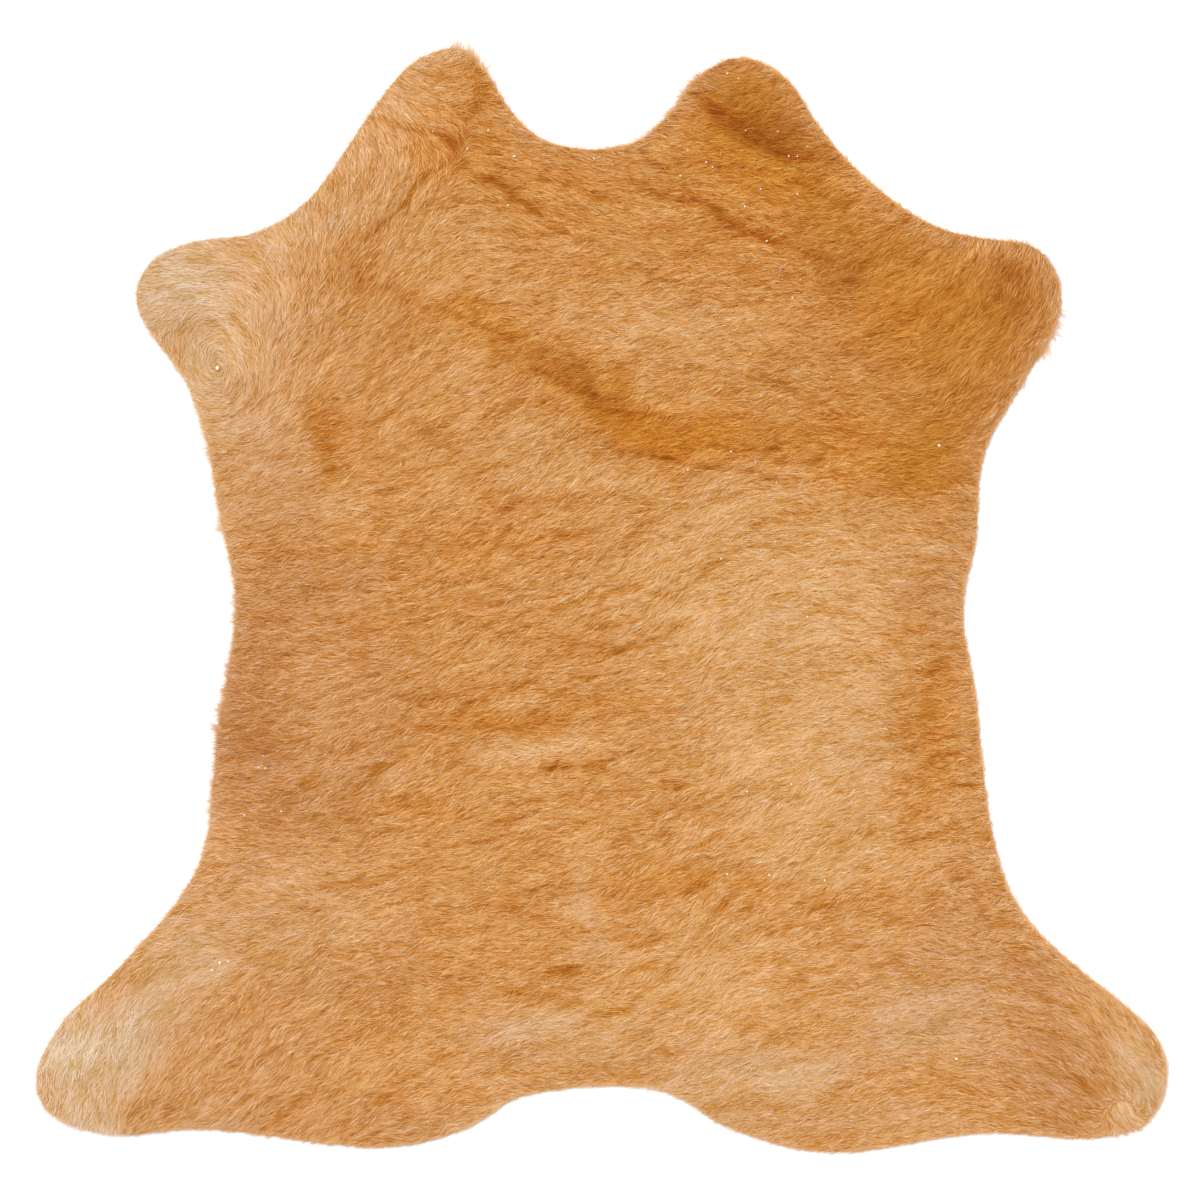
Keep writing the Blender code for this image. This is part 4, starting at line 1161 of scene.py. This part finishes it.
def grow_rim_hair():
    """Short hairs all along the cut edge, and the wisps."""
    dice = np.random.default_rng(9)
    nearest = dice.integers(0, len(cut_edge), RIM_HAIRS)
    outward = rim_out[nearest]
    roots = cut_edge[nearest] - outward * (2.6 * MM * dice.random(RIM_HAIRS) ** 1.3 + 0.2 * MM)[:, None]
    lie = read_lie(roots)
    leaving = (lie * outward).sum(axis=1)
    heading = lie + outward * (0.55 - 0.75 * leaving)[:, None] + 0.22 * dice.normal(size=(RIM_HAIRS, 2))
    heading /= np.linalg.norm(heading, axis=1)[:, None]
    length = RIM_HAIR_LENGTH * (0.6 + 0.8 * dice.random(RIM_HAIRS))
    inset = ((cut_edge[nearest] - roots) * outward).sum(axis=1)
    climb = np.maximum((heading * outward).sum(axis=1), 0.2)
    past = RIM_OVERHANG * (0.1 + 1.5 * dice.random(RIM_HAIRS) ** 2) * np.where(leaving > 0.3, 1.8, 1.0)
    length = np.minimum(length, (inset + past) / climb)
    for across, along, spread, degrees, past_cut, hairs in WISPS:
        off = np.linalg.norm(cut_edge - np.array((across, along)) * MM, axis=1)
        close = np.argsort(off)[:max(6, round(3.2 * spread * MM / OUTLINE_STEP))]
        tufts = close[dice.integers(0, len(close), max(2, hairs // 3))]
        picked = tufts[dice.integers(0, len(tufts), hairs)]
        picked = (picked + dice.integers(-1, 2, hairs)) % len(cut_edge)
        start = cut_edge[picked] - rim_out[picked] * (1.5 * MM * dice.random(hairs))[:, None]
        angle = np.radians(degrees + 15.0 * dice.normal(size=hairs))
        roots = np.vstack([roots, start + 0.5 * MM * dice.normal(size=(hairs, 2))])
        heading = np.vstack([heading, np.column_stack([np.cos(angle), np.sin(angle)])])
        length = np.concatenate([length, past_cut * MM * (0.3 + 1.5 * dice.random(hairs) ** 1.4) + 1.2 * MM])
    count = len(roots)
    aside = np.column_stack([-heading[:, 1], heading[:, 0]])
    bow = aside * (RIM_HAIR_BOW * dice.normal(size=count) * length)[:, None]
    spine = np.zeros((count, 3, 3))
    start = skin_height(roots) + NAP_DEPTH * (0.2 + 0.4 * dice.random(count))
    for k, (share, height, bowed) in enumerate(((0.0, 1.0, 0.0), (0.5, 0.9, 1.0), (1.0, 0.5, 0.0))):
        spine[:, k, :2] = roots + heading * (length * share)[:, None] + bowed * bow
        spine[:, k, 2] = np.maximum(start * height, 0.3 * MM)
    shade = RIM_SHADE[0] + RIM_SHADE[1] * dice.normal(size=count).clip(-2, 2)[:, None]
    tone = read_coat(roots) * shading(shade)
    colours = np.repeat(tone.clip(0.0, PALEST)[:, None, :], 3, axis=1)
    width = RIM_HAIR_WIDTH * (0.7 + 0.6 * dice.random(count))
    roll = np.radians(20.0) * dice.normal(size=count).clip(-2, 2)
    return stamp_locks("rim_hair", bent_lock, spine, width, roll, colours, 112)


rim_hair = grow_rim_hair()
finish_hair(rim_hair, hair_material("rim_hair_shafts", (0.96, 0.88, 0.72), (1.08, 1.12, 1.16), 0.6))

# Scurf and loose hairs: white flecks of dry skin caught in the nap, most of them on the neck and
# the right side, a bare white spot in the middle of the whorl, and four pale hairs lying across.

FLECKS = (
    # across, along and size in mm
    (-71, 360, 2.4), (-109, 366, 1.9), (-6, 358, 1.9), (85, 355, 1.9), (90, 351, 1.5), (64, 344, 1.9),
    (116, 319, 2.0), (134, 291, 2.0), (274, 125, 2.8), (-316, -301, 2.3), (-310, -295, 2.8),
    (-303, -294, 2.0), (288, -373, 2.8), (105, 120, 2.0), (125, 111, 1.5), (70, 105, 1.9),
    (142, 95, 1.5), (97, 33, 2.0), (139, 32, 1.5), (141, 47, 1.4), (167, -14, 1.9), (150, -19, 1.5),
    (-92, 381, 1.9), (-137, 380, 1.4), (-76, 320, 1.8), (129, 333, 1.8), (159, 329, 1.8),
    (152, 360, 1.8), (159, 360, 1.5), (117, 381, 1.5), (143, 380, 1.5), (102, 427, 1.8),
    (111, 423, 1.5), (70, 365, 1.4), (155, 245, 1.9), (118, -156, 2.0), (102, -223, 2.0),
    (136, -224, 2.0), (181, -228, 2.0), (154, -150, 1.9), (-288, 224, 1.8), (-273, -137, 1.9),
    (-260, -172, 1.9), (-290, -175, 2.0), (-275, -127, 1.4), (-312, 188, 3.8),
)
FLECK_CLUSTERS = (
    # across, along and spread in mm, flecks
    (110, 330, 75, 26), (-40, 345, 60, 8), (150, 100, 80, 14), (150, -20, 60, 10), (260, 150, 40, 6),
    (-290, -150, 45, 12), (-330, -300, 50, 8), (100, -230, 80, 10), (300, -330, 70, 8), (-150, -60, 110, 10),
)
LOOSE_HAIRS = (
    # from across, from along, to across, to along in mm
    (-267, 289, -279, 268), (145, 271, 142, 257), (46, 256, 54, 248), (83, 419, 105, 408),
)
BENDS = 8                     # of a loose hair
LOOSE_HAIR_BOW = 0.9 * MM
LOOSE_HAIR_HALF = 0.16 * MM   # half its width at the root


def model_fleck():
    """One flake of scurf, one across, as corners and triangles."""
    bpy.ops.mesh.primitive_ico_sphere_add(subdivisions=1, radius=0.5)
    fleck = bpy.context.active_object
    leave_only(fleck)
    fleck.scale = (1.0, 0.7, 0.35)
    bpy.ops.object.transform_apply(location=True, rotation=True, scale=True)
    return take_apart(fleck)


def scatter_scurf():
    """All the flecks and loose hairs as one mesh, on top of the nap."""
    dice = np.random.default_rng(10)
    flecks = [tuple(fleck) for fleck in FLECKS]
    for across, along, spread, count in FLECK_CLUSTERS:
        places = np.array((across, along)) + spread * dice.normal(size=(count, 2)).clip(-2, 2)
        flecks += [(x, y, 0.6 + 0.5 * dice.random()) for x, y in places]
    flecks = np.array(flecks) * MM
    flecks = flecks[read_table(inset_table, flecks[:, :2]) > 6 * MM]
    corners, triangles = model_fleck()
    top = read_table(height_table, flecks[:, :2]) + 0.45 * MM
    turn = dice.random(len(flecks)) * math.pi
    points = np.zeros((len(flecks), len(corners), 3))
    for k, (x, y, z) in enumerate(corners):
        points[:, k, 0] = flecks[:, 0] + flecks[:, 2] * (x * np.cos(turn) - y * np.sin(turn))
        points[:, k, 1] = flecks[:, 1] + flecks[:, 2] * (x * np.sin(turn) + y * np.cos(turn))
        points[:, k, 2] = top + flecks[:, 2] * z
    faces = triangles[None] + (np.arange(len(flecks)) * len(corners))[:, None, None]
    places = points.reshape(-1, 3).tolist()
    faces = faces.reshape(-1, 3).tolist()
    for x0, y0, x1, y1 in LOOSE_HAIRS:
        start = np.array((x0, y0)) * MM
        run = np.array((x1, y1)) * MM - start
        side = np.array((-run[1], run[0])) / np.linalg.norm(run)
        for k in range(BENDS + 1):
            at = start + run * k / BENDS + side * LOOSE_HAIR_BOW * math.sin(math.pi * k / BENDS)
            height = read_table(height_table, at[None])[0] + 0.15 * MM
            half = LOOSE_HAIR_HALF * (1 - 0.7 * k / BENDS)
            for offset, lift in ((-1, 0.0), (0, 0.25), (1, 0.0)):
                places.append((*(at + side * half * offset), height + lift * MM))
            if k:
                last = len(places) - 6
                for a, b in ((0, 1), (1, 2), (2, 0)):
                    faces.append((last + a, last + a + 3, last + b + 3, last + b))
        faces.append((last + 3, last + 4, last + 5))
        faces.append((last - 19, last - 20, last - 21))
    mesh = bpy.data.meshes.new("scurf")
    mesh.from_pydata(places, [], faces)
    scurf = bpy.data.objects.new("scurf", mesh)
    bpy.context.scene.collection.objects.link(scurf)
    leave_only(scurf)
    bpy.ops.object.mode_set(mode="EDIT")
    bpy.ops.mesh.select_all(action="SELECT")
    bpy.ops.mesh.normals_make_consistent(inside=False)
    bpy.ops.object.mode_set(mode="OBJECT")
    return scurf


scurf = scatter_scurf()
DRY_WHITE = (screen_colour(240, 232, 224), screen_colour(253, 251, 248))
finish_hair(scurf, fibre_material("dry_scurf", 1500.0, DRY_WHITE, 0.85))

# The studio: a plain white floor and soft light from above, a little stronger from the upper
# left, with the camera straight above the hide and its neck at the top of the picture.

PICTURE_WIDTH = 0.97608       # what the camera sees of the floor
CAMERA_HEIGHT = 2.4
CAMERA_OVER = (-1.3 * MM, -0.5 * MM)
SENSOR = 36.0
FLOOR_SIZE = 16.0
FLOOR_DROP = 0.2 * MM         # the floor lies this little below the skin
ROOM_LIGHT = 0.66
WINDOW_LIGHT = 2.5
WINDOW_PLACE = (-0.9, 1.1, 2.0)
WINDOW_SPREAD = 50.0          # degrees


def floor_material():
    """Smooth white paper floor."""
    material, tree, shader = new_material("white_floor", roughness=0.9, specular=0.1)
    shader.inputs["Base Color"].default_value = (0.92, 0.92, 0.92, 1.0)
    raise_surface(tree, shader, noise(tree, 400.0, 2.0), 0.05, 0.0002)
    return material


bpy.ops.mesh.primitive_plane_add(size=FLOOR_SIZE, location=(0.0, 0.0, -FLOOR_DROP))
floor = bpy.context.active_object
floor.name = "floor"
leave_only(floor)
bpy.ops.object.transform_apply(location=True, rotation=True, scale=True)
floor.data.materials.append(floor_material())

world = bpy.data.worlds.new("soft_room")
world.use_nodes = True
background = world.node_tree.nodes["Background"]
background.inputs["Color"].default_value = (1.0, 1.0, 1.0, 1.0)
background.inputs["Strength"].default_value = ROOM_LIGHT
bpy.context.scene.world = world

lamp = bpy.data.lights.new("window_light", "SUN")
lamp.energy = WINDOW_LIGHT
lamp.angle = math.radians(WINDOW_SPREAD)
window = bpy.data.objects.new("window_light", lamp)
window.location = WINDOW_PLACE
window.rotation_euler = window.location.to_track_quat("Z", "Y").to_euler()
bpy.context.scene.collection.objects.link(window)

lens = bpy.data.cameras.new("overhead_camera")
lens.sensor_width = SENSOR
lens.lens = SENSOR * CAMERA_HEIGHT / PICTURE_WIDTH
lens.clip_end = 60.0
camera = bpy.data.objects.new("overhead_camera", lens)
camera.location = (*CAMERA_OVER, CAMERA_HEIGHT)
bpy.context.scene.collection.objects.link(camera)
bpy.context.scene.camera = camera
bpy.context.scene.view_settings.view_transform = "Standard"
